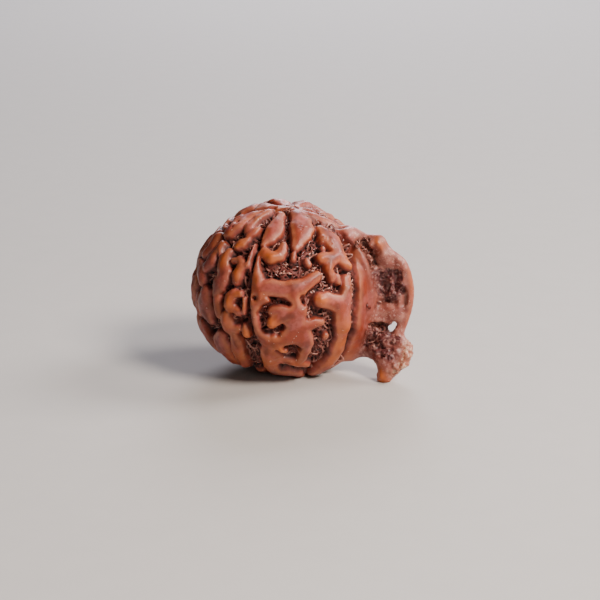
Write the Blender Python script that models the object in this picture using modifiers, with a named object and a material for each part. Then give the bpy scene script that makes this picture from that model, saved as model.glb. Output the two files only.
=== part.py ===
"""Rudraksha bead with a trunk: one grown seed stone, metres, +Z up.

The bead lies on a small flat spot, and the origin is the middle of that spot. +X runs through
the thin crest that hooks down into the trunk. The body is a slightly flat ball whose stalk axis
leans, and its relief is raised by a formula: smooth lobes stand out of a sunken floor, and
grooves run between its faces from pole to pole. A place on the body is given as degrees round
the stalk axis from the trunk, counted towards the face seen from the front, and degrees of
latitude towards the stalk end.
"""

import itertools
import math

import bmesh
import bpy
import numpy as np
from mathutils import Matrix, Vector

MM = 0.001

# Body
EQUATOR_RADIUS = 10.86 * MM
POLE_RADIUS = 10.37 * MM
REST_HEIGHT = 10.18 * MM  # from the rest spot up to the middle of the body
AXIS_LEAN = math.radians(10.8)
LEAN_TOWARDS = math.radians(-53)  # compass angle from +X

# Fuller places on the body: degrees round, latitude, share of the radius added, degrees of spread
SWELLINGS = (
    (22, -48, 0.085, 22),
    (140, -25, 0.02, 30),
    (126, -40, 0.035, 20),
)

# Relief, in millimetres
FLOOR_DEPTH = 0.9  # from a lobe's top down to the floor between the lobes
SPREAD = 0.1  # how far each lobe grows past the half-widths of its line
SHOULDER = 0.38  # width of a lobe's rounded edge
SKIRT = 0.14  # how far that edge runs out past the lobe's outline
MELT = 0.16  # lobes that meet flow together over this distance
DOME = 0.1  # a broad lobe stands this much higher in its middle
SWAY = 0.14  # height of the slow waves over the lobes
SWAY_LENGTH = 2.6
RAGGED = 0.11  # how far a lobe's outline wanders
RAGGED_LENGTH = 0.9
MEAN_RADIUS = 10.7

# Crest and trunk, in millimetres: an outline in the XZ plane, from the middle of the body
CREST_OUTLINE = (
    (4.0, 6.5), (7.3, 8.0), (8.6, 8.15), (10.3, 7.4), (11.8, 7.45), (12.6, 6.85), (13.1, 5.95),
    (14.1, 5.2), (15.1, 4.4), (15.8, 2.8), (16.15, 0.8), (16.05, -1.1), (15.6, -3.0), (15.15, -4.5),
    (15.3, -5.2), (16.0, -5.5), (16.45, -6.6), (15.95, -7.9), (14.8, -9.2), (13.3, -10.5),
    (12.1, -10.0), (12.2, -8.9), (11.7, -8.1), (10.9, -7.95), (9.5, -8.2), (8.4, -8.7), (4.0, -7.5),
)
CREST_ROOT = 1.6  # half the crest's thickness where it leaves the body
CREST_ROOT_FADE = (1.13, 1.02)  # shares of the body's radius over which the root thins out
CREST_EDGE = 0.76  # half its thickness at the rounded rim
CREST_WEB = 0.56  # and in the thin web behind the rim
RIM_WIDTH = 0.9
TRUNK_TIP = Vector((14.2, -8.2))  # middle of the trunk's foot, X and Z
TRUNK_SPREAD = 2.6
TRUNK_THICKER = 0.55
TRUNK_FORWARD = 2.0  # how far the foot bends towards the front
SLOT_MIDDLE = Vector((13.66, 0.0, -3.85))
SLOT_LENGTH = 1.7
SLOT_WIDTH = 0.75
SLOT_RISE = math.radians(55)  # the slot climbs outwards
# Hollows in the crest's faces, shallower behind: each a line of (X, Z, half-width)
CREST_HOLLOWS = (
    ((9.5, 6.4, 0.3), (10.1, 6.1, 0.4), (10.5, 5.6, 0.4), (11.1, 4.9, 0.42), (11.4, 3.9, 0.3)),
    ((12.2, 2.6, 0.5), (12.6, 1.6, 0.75), (12.6, 0.6, 0.6)),
    ((13.0, 2.9, 0.4), (14.2, 2.7, 0.55), (14.2, 1.4, 0.5)),
    ((11.0, -0.9, 0.35), (11.8, -1.0, 0.3), (12.8, -0.75, 0.35), (13.8, -0.7, 0.3)),
    ((15.0, 0.6, 0.25), (15.0, -0.8, 0.25)),
    ((10.9, -3.75, 0.28), (12.2, -3.8, 0.3), (13.3, -3.9, 0.35)),
    ((12.3, -4.35, 0.35), (13.2, -4.4, 0.4)),
    ((10.7, -5.6, 0.4), (11.6, -5.7, 0.45), (12.6, -6.2, 0.45)),
)
CREST_HOLLOW_DEPTH = 0.5
CREST_BACK = 0.4  # a hollow is this share as deep on the crest's back
# Swollen places of the crest's faces, in the same way
CREST_SWELLS = (
    ((11.0, -2.6, 0.8), (12.4, -2.35, 0.9), (14.2, -2.2, 0.75)),
    ((10.9, 6.6, 0.5), (11.8, 6.4, 0.6), (12.6, 5.4, 0.7), (12.8, 4.4, 0.6)),
)
CREST_SWELL_HEIGHT = 0.34
CREST_GRAIN = 0.8  # size of the lumps on the web and the foot
CREST_ROUGH = 0.15
CREST_BED = (2.3, 1.5)  # millimetres aside of the crest over which the body's floor rises to meet it
CREST_BED_DEPTH = 0.4  # share of the floor's depth that is left beside the crest
CREST_FROM = (1.04, 1.12)  # shares of the body's radius over which the crest's own relief takes over

# Mesh
VOXEL = 0.17 * MM
SOFTENING_STEPS = 12
TARGET_TRIANGLES = 11200
SEED = 7

COLOUR = (0.33, 0.11, 0.06, 1.0)
ROUGHNESS = 0.42

# Grooves between the faces: each a line of (round, latitude, half-width in millimetres)
SHOWN_GROOVES = (
    ((12, 77, 0.12), (5, 68, 0.16), (1.5, 59, 0.18), (4, 52, 0.2), (9, 45, 0.22), (15, 38, 0.26),
     (18.5, 29, 0.26), (22, 20, 0.3), (24, 11, 0.34), (25, 0, 0.34), (25, -10, 0.32),
     (24.5, -20, 0.28), (23, -30, 0.26), (24, -42, 0.24), (34, -60, 0.2)),
    ((127, 79, 0.14), (117, 65, 0.22), (108, 53, 0.24), (103.5, 40, 0.24), (100.5, 22, 0.24), (97.8, 8, 0.24),
     (95.3, -2, 0.24), (92.8, -12, 0.24), (90.8, -22, 0.24), (90, -36, 0.26), (86, -58, 0.2)),
    ((90, 81, 0.14), (81, 73, 0.2), (78, 66, 0.22), (75.5, 60, 0.2), (73.5, 55, 0.16)),
    ((140, 33, 0.16), (133, 22, 0.24), (130, 12, 0.24), (127, 3, 0.22), (123, -4, 0.16)),
)
# Grooves of the hidden sides: degrees round at the equator
HIDDEN_GROOVES = (172, 218, 262, 304, 338)
HIDDEN_GROOVE_WAVE = 5  # degrees of sway along a hidden groove
HIDDEN_GROOVE_WIDTH = 0.2  # half-width in millimetres

# Lobes of the front: each a line of (round, latitude, half-width in millimetres)
SHOWN_LOBES = (
    # round the stalk end
    ((114, 80, 0.7), (99, 72, 0.95), (98, 65, 0.98), (99.5, 60, 0.82), (103, 54.5, 0.42)),
    ((22, 84, 0.85), (38, 77, 1.2), (51, 70, 1.4), (56, 65.5, 1.25),
     (60.5, 61, 0.85), (64, 57, 0.55), (67, 54.5, 0.4)),
    ((-20, 82, 0.4), (-4, 75, 0.5), (-8, 67, 0.5), (-12, 60, 0.45), (-15, 54, 0.4)),
    ((160, 77, 0.4), (148, 71, 0.45), (141, 65, 0.48), (136, 60, 0.42), (132, 56.5, 0.34)),
    ((195, 79, 0.8), (222, 76, 0.9), (240, 72, 0.8)),
    ((275, 79, 0.8), (300, 72, 0.8), (318, 66, 0.6)),
    # upper right of the front face: the broad lobe, its branch, its leg and the loose balls beside it
    ((19, 65, 0.5), (19, 60, 0.9), (19, 54, 1.1), (20, 49, 0.95),
     (23, 44, 0.9), (21.5, 38.5, 0.62), (20, 34.5, 0.5)),
    ((23, 44, 0.85), (33, 43.5, 0.8), (42, 45, 0.62)),
    ((36, 42, 0.7), (38.5, 37.5, 0.6), (38, 33.5, 0.5), (38.5, 30.5, 0.35)),
    ((29, 58, 0.5), (25, 57, 0.5)),
    ((69.5, 50, 0.24), (69.5, 46.5, 0.27)),
    ((57.5, 45.5, 0.22), (56.5, 42.5, 0.3)),
    ((36.5, 51.5, 0.22),),
    # the crescent
    ((99, 50.5, 0.42), (95.5, 48, 0.72), (90, 46.4, 0.9),
     (84.5, 48, 0.78), (81, 51.5, 0.56), (80.5, 55.5, 0.42)),
    # the broad plate: horn, upper band, left strip, middle, tongues and foot
    ((102.4, 46, 0.2), (101.4, 41, 0.4), (100, 36, 0.58), (98.2, 31, 0.75), (95, 25.5, 1.0)),
    ((94, 24, 1.0), (85, 26, 1.0), (75, 26, 1.0), (66, 27, 1.0), (58, 31, 0.7), (50.5, 34.5, 0.52)),
    ((93.5, 21, 0.95), (93, 14, 0.8), (92.5, 8, 0.55), (91.5, 0, 0.55), (89.5, -7, 0.6), (85, -12, 0.9)),
    ((68, 22, 1.0), (66, 12, 1.05), (68, 4, 1.2), (65, -4, 1.5), (72, -9, 1.2), (80, -13, 1.1)),
    ((68, 12, 1.0), (76, 9, 0.95), (82, 3, 0.66)),
    ((77, 12, 0.6), (82.5, 11, 0.5)),
    ((88.5, 17.5, 0.6),),
    ((61, 1, 0.9), (54, 3.2, 0.5), (50.5, 3, 0.35)),
    ((61, -8, 1.1), (60, -13, 1.0), (58, -20, 0.66), (58.5, -27, 0.5), (61, -32, 0.5)),
    ((80, -13, 1.0), (83, -21, 1.0), (84.5, -30, 0.95), (82.5, -39, 0.9), (79, -47, 0.8)),
    ((74, -18, 0.62), (79, -26, 0.7)),
    ((82, -33, 0.8), (75, -29.5, 0.55), (68, -31, 0.55), (61, -33, 0.55), (54, -35, 0.42)),
    ((76, -50, 0.7), (66, -49, 0.75), (56, -51, 0.7)),
    # right side of the front face
    ((51, 19, 0.8), (45.5, 17.5, 0.9), (39, 14, 1.0), (33, 12, 1.05),
     (29.5, 17, 0.8), (27.5, 22, 0.55), (25.5, 28, 0.42)),
    ((34.5, 8, 1.15), (34, 1, 1.15), (32.5, -5, 1.05), (32, -10, 0.95), (32.3, -17, 0.9), (32.5, -24, 0.85),
     (33, -31, 0.85), (34, -39, 0.95), (38, -50, 0.85)),
    ((33, 31.5, 0.36), (34, 27.5, 0.3)),
    ((46, -8.5, 0.44),),
    # the long ridge beside the crest, and the lobe above it
    ((-1, 38.5, 0.8), (1.5, 33.5, 0.95), (4.5, 27, 1.1), (7.5, 19, 1.25), (9.5, 10, 1.4), (10.7, 0, 1.45),
     (10.8, -10, 1.45), (10.5, -20, 1.35), (11, -30, 1.15), (12.5, -40, 0.9), (19, -52, 0.6)),
    ((0, 56, 0.4), (-1.5, 50.5, 0.6), (-3, 45, 0.6), (-4, 42, 0.4)),
    # left of the front face, top to bottom
    ((109.5, 51.5, 0.25), (107.5, 45.5, 0.28), (107, 41.5, 0.28), (107.5, 36.5, 0.25)),
    ((122, 36, 0.32), (117.5, 38, 0.38), (113.5, 37, 0.4),
     (112, 33.5, 0.52), (112.5, 28.5, 0.57), (111.5, 24.5, 0.42)),
    ((130.5, 39, 0.45), (130, 33.5, 0.75), (127.5, 28.5, 0.9), (124.5, 26, 0.85), (123, 22, 0.92),
     (125, 17, 0.95), (126.5, 12, 0.75)),
    ((106, 17.5, 0.36), (111, 16.2, 0.5), (112.5, 12.5, 0.62),
     (111.5, 8, 0.78), (108, 5, 0.7), (105.5, 5.5, 0.55)),
    ((113.5, -1, 0.7), (113, -4.5, 0.88), (112, -9, 0.75), (106, -8, 0.5), (103.5, -6.2, 0.36)),
    ((123.5, 9, 0.5), (122.5, 3, 0.66), (119.5, -2, 0.6)),
    ((101.5, 15, 0.28), (101, 10.5, 0.3), (100.8, 5.5, 0.17)),
    ((99.6, -3, 0.17), (98.6, -7, 0.5), (98, -9, 0.56)),
    ((107.5, -13, 0.45), (106.5, -17.5, 0.68), (105.5, -23, 0.78),
     (106, -29, 0.75), (106, -36, 0.65), (106, -44, 0.6)),
    ((119, -19, 0.75), (120, -25, 1.2), (120, -33, 1.25), (117, -41, 1.0)),
    # far left, out to the edge of the view
    ((122.5, 52, 0.36), (124.5, 48, 0.52), (126, 45, 0.44)),
    ((122, 63, 0.3), (123.5, 59, 0.4), (124.5, 55, 0.36)),
    ((180, 75, 0.7), (170, 67, 0.9), (159, 60, 1.0), (151, 55, 0.95), (150, 48.5, 0.88)),
    ((144.5, 39.5, 0.55), (143.5, 34, 0.85), (143.5, 28, 1.0), (145, 22, 0.8)),
    ((158, 17, 0.65), (150.5, 15, 1.0), (144, 12, 0.8)),
    ((135.5, 6, 0.95), (134.5, 0, 1.25), (133.5, -6, 1.15), (129.5, -10, 0.75)),
    ((143, -1, 0.8), (143, -9, 0.9)),
    ((158, 40, 0.6), (158, 32, 0.7), (159, 25, 0.55)),
    ((157, 5, 0.8), (156, -4, 0.9), (155, -12, 0.6)),
    ((144, -22, 0.7), (136, -30, 0.8), (130, -37, 0.7)),
    ((156, -22, 0.6), (150, -32, 0.7), (144, -40, 0.6)),
    # the lobe that the bead rests on
    ((53, -79, 2.4),),
)
# Hollows cut into the lobes: each a line of (round, latitude, half-width in millimetres)
SHOWN_HOLLOWS = (
    ((81.5, 18.5, 0.32), (77, 18, 0.4), (72.5, 16.5, 0.3)),
    ((84.5, 15.5, 0.24), (88, 12, 0.34), (89.8, 8, 0.36), (89, 3, 0.27), (87.4, -2, 0.27), (85, -4.5, 0.27),
     (81.5, -4.8, 0.22)),
    ((78, -5, 0.28),),
    ((75, 0.5, 0.22),),
    ((72, -15.5, 0.28), (67, -14.8, 0.42), (63.5, -17, 0.3)),
    ((77.5, -19, 0.24), (73, -22.5, 0.3), (68.5, -24.5, 0.3), (64.5, -25, 0.22)),
    ((63, 20.5, 0.32), (62.2, 17, 0.25)),
    ((58.5, 20, 0.42), (57, 13, 0.42), (53, 9, 0.4), (48, 8.5, 0.42), (45, 4, 0.4), (42.5, -2, 0.34)),
    ((38.5, -12, 0.26),),
    ((33, 35.5, 0.42),),
    ((107, 11, 0.3),),
    ((109, 1.5, 0.3), (104, -1.5, 0.34)),
    ((153.5, 56, 0.14),),
    ((95.3, 17.5, 0.22),),
    ((90.5, 52.5, 0.36),),
)
# Knobs that stand up from the lobes: round, latitude, radius and height in millimetres
SHOWN_KNOBS = (
    (82, 2.5, 0.7, 0.3),
    (75, -17.5, 0.7, 0.22),
    (20, 34.5, 0.7, 0.38),
    (51, 18.5, 0.9, 0.25),
    (21, 54, 0.7, 0.15),
    (29, 58, 0.5, 0.2),
    (38.5, 37, 0.6, 0.15),
    (44, 45, 0.6, 0.2),
    (98.2, -8.5, 0.55, 0.25),
    (32, -4, 1.0, 0.18),
    (28, 21, 0.7, 0.2),
    (89, 45.5, 0.8, 0.2),
    (112, 9, 0.8, 0.2),
    (113, -5, 0.9, 0.2),
    (-2, 48, 0.9, 0.25),
    (150, 54, 1.5, 0.3),
    (162, 38, 1.3, 0.34),
    (163, 21, 1.3, 0.32),
    (162, 4, 1.3, 0.3),
    (160, -12, 1.3, 0.3),
    (156, -30, 1.3, 0.3),
    (226, 70, 1.7, 0.34),
    (286, 70, 1.7, 0.34),
)

# Lobes of the hidden sides follow a formula instead: the valleys that part them are the lines
# where two seeded fields cross zero
SHOWN_ROUND = (-12, -5, 158, 166)  # degrees round over which the lists above fade in and out
SHOWN_LOWEST = (-52, -46)
WILD_LENGTHS = (1.9, 2.7)  # millimetres, which set how broad the lobes grow
WILD_STRETCH = 0.62  # they run this much longer along the stalk axis
WILD_BEND = 0.9
WILD_BEND_LENGTH = 3.1
VALLEY = 0.11


def smooth_step(low, high, value):
    """0 below low, 1 above high, and a soft S between them."""
    share = np.clip((value - low) / (high - low), 0.0, 1.0)
    return share * share * (3.0 - 2.0 * share)


def smooth_max(a, b, blend):
    """The larger of two fields, rounded where they meet."""
    share = np.clip(0.5 + 0.5 * (a - b) / blend, 0.0, 1.0)
    return b + (a - b) * share + blend * share * (1.0 - share)


def lattice_noise(points, wavelength, seed):
    """A smooth random field of about -1 to 1 that repeats no pattern within the part."""
    size = 64
    table = np.random.default_rng(seed).uniform(-1.0, 1.0, (size, size, size))
    scaled = points / wavelength
    cell = np.floor(scaled).astype(int)
    part = scaled - cell
    part = part * part * (3.0 - 2.0 * part)
    total = np.zeros(len(points))
    for corner in itertools.product((0, 1), repeat=3):
        weight = np.prod(np.where(corner, part, 1.0 - part), axis=1)
        i, j, k = ((cell + corner) % size).T
        total += weight * table[i, j, k]
    return total


def direction(round_degrees, latitude):
    """Unit vector of a place on the body, before the stalk axis leans."""
    turn, rise = math.radians(-round_degrees), math.radians(latitude)
    return np.array((math.cos(rise) * math.cos(turn), math.cos(rise) * math.sin(turn), math.sin(rise)))


def lean_matrix():
    """Turns the upright stalk axis to where it leans."""
    hinge = Vector((-math.sin(LEAN_TOWARDS), math.cos(LEAN_TOWARDS), 0.0))
    return Matrix.Rotation(AXIS_LEAN, 3, hinge)


def swelling(directions):
    """Radius of the body as a share of the plain ball's."""
    share = np.ones(len(directions))
    for turn, latitude, extra, spread in SWELLINGS:
        away = np.degrees(np.arccos(np.clip(directions @ direction(turn, latitude), -1.0, 1.0)))
        share += extra * np.exp(-((away / spread) ** 2))
    return share


def on_body(points):
    """Directions of the points in the upright body, and their distance out as a share of its radius."""
    upright = (points - (0.0, 0.0, REST_HEIGHT)) @ np.array(lean_matrix())
    upright = upright / (EQUATOR_RADIUS, EQUATOR_RADIUS, POLE_RADIUS)
    length = np.linalg.norm(upright, axis=1)
    directions = upright / length[:, None]
    return directions, length / swelling(directions)


def segments(lines):
    """Each straight stretch of the lines as (start, end, half-width there, half-width at the end)."""
    found = []
    for line in lines:
        ends = [(direction(turn, latitude), width) for turn, latitude, width in line]
        pairs = zip(ends, ends[1:]) if len(ends) > 1 else [(ends[0], ends[0])]
        found += [(a, b, wide_a, wide_b) for (a, wide_a), (b, wide_b) in pairs]
    return found


def depth_inside(directions, stretches, blend):
    """Millimetres that each direction lies inside the nearest stretch, and below 0 outside all."""
    inside = np.full(len(directions), -9.0)
    for start, end, wide_start, wide_end in stretches:
        run = end - start
        share = np.clip((directions - start) @ run / max(run @ run, 1e-9), 0.0, 1.0)
        gap = np.linalg.norm(directions - start - share[:, None] * run, axis=1) * MEAN_RADIUS
        width = wide_start + share * (wide_end - wide_start)
        inside = smooth_max(inside, width - gap, blend)
    return inside


def hidden_groove(turn):
    """One groove of the hidden sides, swaying as it runs from pole to pole."""
    line = []
    for latitude in range(-80, 81, 8):
        sway = HIDDEN_GROOVE_WAVE * math.sin(math.radians(4 * latitude + 3 * turn))
        line.append((turn + sway, latitude, HIDDEN_GROOVE_WIDTH))
    return tuple(line)


def groove_lines():
    """Every groove as a line with its half-widths."""
    return list(SHOWN_GROOVES) + [hidden_groove(turn) for turn in HIDDEN_GROOVES]


def shown_share(directions):
    """1 where the lists give the lobes, and 0 where the formula does."""
    turn = -np.degrees(np.arctan2(directions[:, 1], directions[:, 0]))
    latitude = np.degrees(np.arcsin(np.clip(directions[:, 2], -1.0, 1.0)))
    start, started, ending, end = SHOWN_ROUND
    share = smooth_step(start, started, turn) * smooth_step(end, ending, turn)
    return share * smooth_step(*SHOWN_LOWEST, latitude)


def wild_depth_inside(on_ball):
    """Millimetres inside a lobe of the hidden sides, below 0 in the valleys."""
    bend = np.stack([lattice_noise(on_ball, WILD_BEND_LENGTH, SEED + 10 + axis) for axis in range(3)], axis=1)
    drawn_out = on_ball * (1.0, 1.0, WILD_STRETCH) + WILD_BEND * bend
    inside = np.full(len(on_ball), 9.0)
    for number, length in enumerate(WILD_LENGTHS):
        field = lattice_noise(drawn_out, length, SEED + 20 + number)
        inside = np.minimum(inside, (np.abs(field) - VALLEY) * length)
    return inside


def beside_crest(directions):
    """1 along the foot of the crest, and 0 away from it."""
    leaning = directions @ np.array(lean_matrix()).T
    aside = np.where(leaning[:, 0] > 0.0, np.abs(leaning[:, 1]) * MEAN_RADIUS, 9.0)
    return smooth_step(*CREST_BED, aside)


def relief(directions):
    """Height in millimetres over the plain body, 0 on a lobe and -FLOOR_DEPTH between lobes."""
    on_ball = directions * MEAN_RADIUS
    inside = depth_inside(directions, segments(SHOWN_LOBES), MELT)
    inside = smooth_max(inside, wild_depth_inside(on_ball) - 4.0 * shown_share(directions), MELT)
    inside += SPREAD + RAGGED * lattice_noise(on_ball, RAGGED_LENGTH, SEED)
    cut = depth_inside(directions, segments(SHOWN_HOLLOWS), MELT)
    cut = np.maximum(cut, depth_inside(directions, segments(groove_lines()), MELT))
    inside = -smooth_max(-inside, cut, MELT)
    share = np.clip((inside + SKIRT) / SHOULDER, 0.0, 1.0)
    rise = np.sqrt(1.0 - (1.0 - share) ** 2)
    floor_depth = FLOOR_DEPTH * (1.0 - (1.0 - CREST_BED_DEPTH) * beside_crest(directions))
    height = floor_depth * (rise - 1.0) + DOME * smooth_step(0.2, 1.2, inside)
    for turn, latitude, radius, tall in SHOWN_KNOBS:
        away = np.linalg.norm(directions - direction(turn, latitude), axis=1) * MEAN_RADIUS
        height += tall * np.exp(-((away / radius) ** 2) * 2.0)
    return height + SWAY * lattice_noise(on_ball, SWAY_LENGTH, SEED + 1)


def within(x, z, lines, soft):
    """1 within lines of the XZ plane and 0 beyond their half-widths, with a soft edge."""
    inside = np.zeros(len(x))
    for line in lines:
        for (ax, az, wide_a), (bx, bz, wide_b) in zip(line, line[1:]):
            away = line_distance(x, z, [((ax, az), (bx, bz))]) - 0.5 * (wide_a + wide_b)
            inside = np.maximum(inside, smooth_step(soft, -soft, away))
    return inside


def crest_relief(points):
    """Height in millimetres over the crest: a hollowed web, a plain rim and a rough, broken foot."""
    crest = (points - (0.0, 0.0, REST_HEIGHT)) / MM
    x, z = crest[:, 0], crest[:, 2]
    web = smooth_step(0.35, 0.9, line_distance(x, z, crest_outline()))
    foot = np.exp(-(((x - TRUNK_TIP.x) ** 2 + (z - TRUNK_TIP.y) ** 2) / TRUNK_SPREAD**2))
    grain = lattice_noise(crest, CREST_GRAIN, SEED + 3)
    behind = smooth_step(-0.2, 0.2, crest[:, 1])
    depth = CREST_HOLLOW_DEPTH * (1.0 - (1.0 - CREST_BACK) * behind) * (1.0 + 0.4 * grain)
    height = CREST_ROUGH * grain * np.maximum(web, foot) - depth * web * within(x, z, CREST_HOLLOWS, 0.22)
    return height + CREST_SWELL_HEIGHT * web * within(x, z, CREST_SWELLS, 0.5)


def crest_curve_points(steps=6):
    """The crest's outline as a closed smooth line through its points, in millimetres."""
    outline = np.array(CREST_OUTLINE)
    before, after, beyond = (np.roll(outline, shift, axis=0) for shift in (1, -1, -2))
    points = []
    for a, b, c, d in zip(before, outline, after, beyond):
        for t in np.arange(steps) / steps:
            bend = (2 * a - 5 * b + 4 * c - d) * t**2 + (3 * b - a - 3 * c + d) * t**3
            points.append(0.5 * (2 * b + (c - a) * t + bend))
    return np.array(points)


def crest_outline():
    """The crest's outline as pairs of neighbouring points."""
    outline = crest_curve_points()
    return list(zip(outline, np.roll(outline, -1, axis=0)))


def line_distance(x, z, stretches):
    """Millimetres from each point of the XZ plane to the nearest of the straight stretches."""
    nearest = np.full(len(x), 99.0)
    for (ax, az), (bx, bz) in stretches:
        run_x, run_z = bx - ax, bz - az
        share = ((x - ax) * run_x + (z - az) * run_z) / max(run_x**2 + run_z**2, 1e-9)
        share = np.clip(share, 0.0, 1.0)
        nearest = np.minimum(nearest, np.hypot(x - ax - share * run_x, z - az - share * run_z))
    return nearest


def crest_shape(x, z):
    """Half-thickness of the crest and how far its middle lies forward, in millimetres."""
    out = np.hypot(x / EQUATOR_RADIUS, z / POLE_RADIUS) * MM
    from_rim = line_distance(x, z, crest_outline())
    half = CREST_WEB + (CREST_ROOT - CREST_WEB) * smooth_step(*CREST_ROOT_FADE, out)
    half += (CREST_EDGE - CREST_WEB) * np.exp(-((from_rim / RIM_WIDTH) ** 2))
    foot = np.exp(-(((x - TRUNK_TIP.x) ** 2 + (z - TRUNK_TIP.y) ** 2) / TRUNK_SPREAD**2))
    half += TRUNK_THICKER * foot
    round_off = np.clip(from_rim / CREST_EDGE, 0.0, 1.0)
    half *= np.sqrt(1.0 - (1.0 - round_off) ** 2 * 0.92)
    forward = TRUNK_FORWARD * smooth_step(-3.5, -10.0, z) * smooth_step(10.0, 13.0, x)
    return half, forward


def evaluated_mesh(obj, name):
    """The object's mesh with its modifiers applied, as a new mesh."""
    graph = bpy.context.evaluated_depsgraph_get()
    graph.update()
    mesh = bpy.data.meshes.new_from_object(obj.evaluated_get(graph))
    mesh.name = name
    mesh.transform(obj.matrix_world)
    return mesh


def get_points(mesh):
    """The mesh's vertices as an array."""
    points = np.empty(len(mesh.vertices) * 3)
    mesh.vertices.foreach_get("co", points)
    return points.reshape(-1, 3)


def set_points(mesh, points):
    """Moves the mesh's vertices."""
    mesh.vertices.foreach_set("co", points.astype(np.float32).ravel())
    mesh.update()


def new_object(name, mesh, collection):
    """A new object that holds the mesh, in the collection."""
    obj = bpy.data.objects.new(name, mesh)
    collection.objects.link(obj)
    return obj


def new_collection(name):
    """A new collection in the scene."""
    collection = bpy.data.collections.new(name)
    bpy.context.scene.collection.children.link(collection)
    return collection


def plain_body(helpers):
    """The body before its relief is raised: a leaning ball with its swellings."""
    ball = bmesh.new()
    bmesh.ops.create_icosphere(ball, subdivisions=6, radius=1.0)
    mesh = bpy.data.meshes.new("plain_body")
    ball.to_mesh(mesh)
    ball.free()
    directions = get_points(mesh)
    directions /= np.linalg.norm(directions, axis=1)[:, None]
    points = directions * swelling(directions)[:, None] * (EQUATOR_RADIUS, EQUATOR_RADIUS, POLE_RADIUS)
    set_points(mesh, points @ np.array(lean_matrix()).T + (0.0, 0.0, REST_HEIGHT))
    return new_object("plain_body", mesh, helpers)


def crest(helpers):
    """The crest and the trunk: an outline of even thickness, then thinned, bent and slotted."""
    outline = bpy.data.curves.new("crest_outline", "CURVE")
    outline.dimensions = "2D"
    outline.fill_mode = "BOTH"
    outline.extrude = 1.0 * MM
    spline = outline.splines.new("POLY")
    corners = crest_curve_points()
    spline.points.add(len(corners) - 1)
    for point, (x, z) in zip(spline.points, corners):
        point.co = (x * MM, z * MM, 0.0, 1.0)
    spline.use_cyclic_u = True
    drawn = new_object("crest_outline", outline, helpers)
    drawn.rotation_euler = (math.radians(90), 0.0, 0.0)
    bpy.context.view_layer.update()
    mesh = evaluated_mesh(drawn, "crest")
    bpy.data.objects.remove(drawn)
    weld = bmesh.new()
    weld.from_mesh(mesh)
    bmesh.ops.remove_doubles(weld, verts=weld.verts, dist=0.01 * MM)
    bmesh.ops.recalc_face_normals(weld, faces=weld.faces)
    weld.to_mesh(mesh)
    weld.free()
    plate = new_object("crest", mesh, helpers)
    grain = plate.modifiers.new("even grain", "REMESH")
    grain.mode = "VOXEL"
    grain.voxel_size = VOXEL
    even = evaluated_mesh(plate, "crest")
    points = get_points(even) / MM
    half, forward = crest_shape(points[:, 0], points[:, 2])
    points[:, 1] = points[:, 1] * half - forward
    set_points(even, points * MM + (0.0, 0.0, REST_HEIGHT))
    bpy.data.objects.remove(plate)
    return new_object("crest", even, helpers)


def slot_cutter(cutters):
    """The slot through the crest: a narrow oval that climbs outwards."""
    tool = bmesh.new()
    bmesh.ops.create_cone(tool, cap_ends=True, segments=24, radius1=0.5 * MM, radius2=0.5 * MM, depth=12 * MM)
    bmesh.ops.scale(tool, vec=(SLOT_LENGTH, SLOT_WIDTH, 1.0), verts=tool.verts)
    for angle, axis in ((math.radians(90), "X"), (-SLOT_RISE, "Y")):
        bmesh.ops.rotate(tool, cent=(0, 0, 0), matrix=Matrix.Rotation(angle, 3, axis), verts=tool.verts)
    mesh = bpy.data.meshes.new("slot_cutter")
    tool.to_mesh(mesh)
    tool.free()
    cutter = new_object("slot_cutter", mesh, cutters)
    cutter.location = SLOT_MIDDLE * MM + Vector((0.0, 0.0, REST_HEIGHT))
    return cutter


def ground_cutter(cutters):
    """A block below the rest plane, which leaves the flat spots."""
    block = bmesh.new()
    bmesh.ops.create_cube(block, size=60 * MM)
    mesh = bpy.data.meshes.new("ground_cutter")
    block.to_mesh(mesh)
    block.free()
    cutter = new_object("ground_cutter", mesh, cutters)
    cutter.location = (0.0, 0.0, -30 * MM)
    return cutter


def add_boolean(obj, operation, other):
    """Joins or cuts the object with another."""
    step = obj.modifiers.new(other.name, "BOOLEAN")
    step.operation = operation
    step.object = other
    step.solver = "EXACT"


def smooth_form(helpers, cutters):
    """Body and crest run together in one even mesh, before the relief."""
    body, blade = plain_body(helpers), crest(helpers)
    add_boolean(blade, "DIFFERENCE", slot_cutter(cutters))
    add_boolean(body, "UNION", blade)
    even = body.modifiers.new("even grain", "REMESH")
    even.mode = "VOXEL"
    even.voxel_size = VOXEL
    soften = body.modifiers.new("soften", "SMOOTH")
    soften.factor = 0.5
    soften.iterations = SOFTENING_STEPS
    return evaluated_mesh(body, "bead")


def raise_relief(mesh):
    """Moves each vertex along its normal by the formula for where it lies."""
    points = get_points(mesh)
    normals = np.empty(len(points) * 3)
    mesh.vertex_normals.foreach_get("vector", normals)
    directions, out = on_body(points)
    on_crest = smooth_step(*CREST_FROM, out)
    height = (1.0 - on_crest) * relief(directions) + on_crest * crest_relief(points)
    set_points(mesh, points + normals.reshape(-1, 3) * height[:, None] * MM)


def shell_material():
    """Oiled seed stone."""
    material = bpy.data.materials.new("seed_stone")
    material.use_nodes = True
    shader = material.node_tree.nodes["Principled BSDF"]
    shader.inputs["Base Color"].default_value = COLOUR
    shader.inputs["Roughness"].default_value = ROUGHNESS
    shader.inputs["Metallic"].default_value = 0.0
    return material


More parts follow.
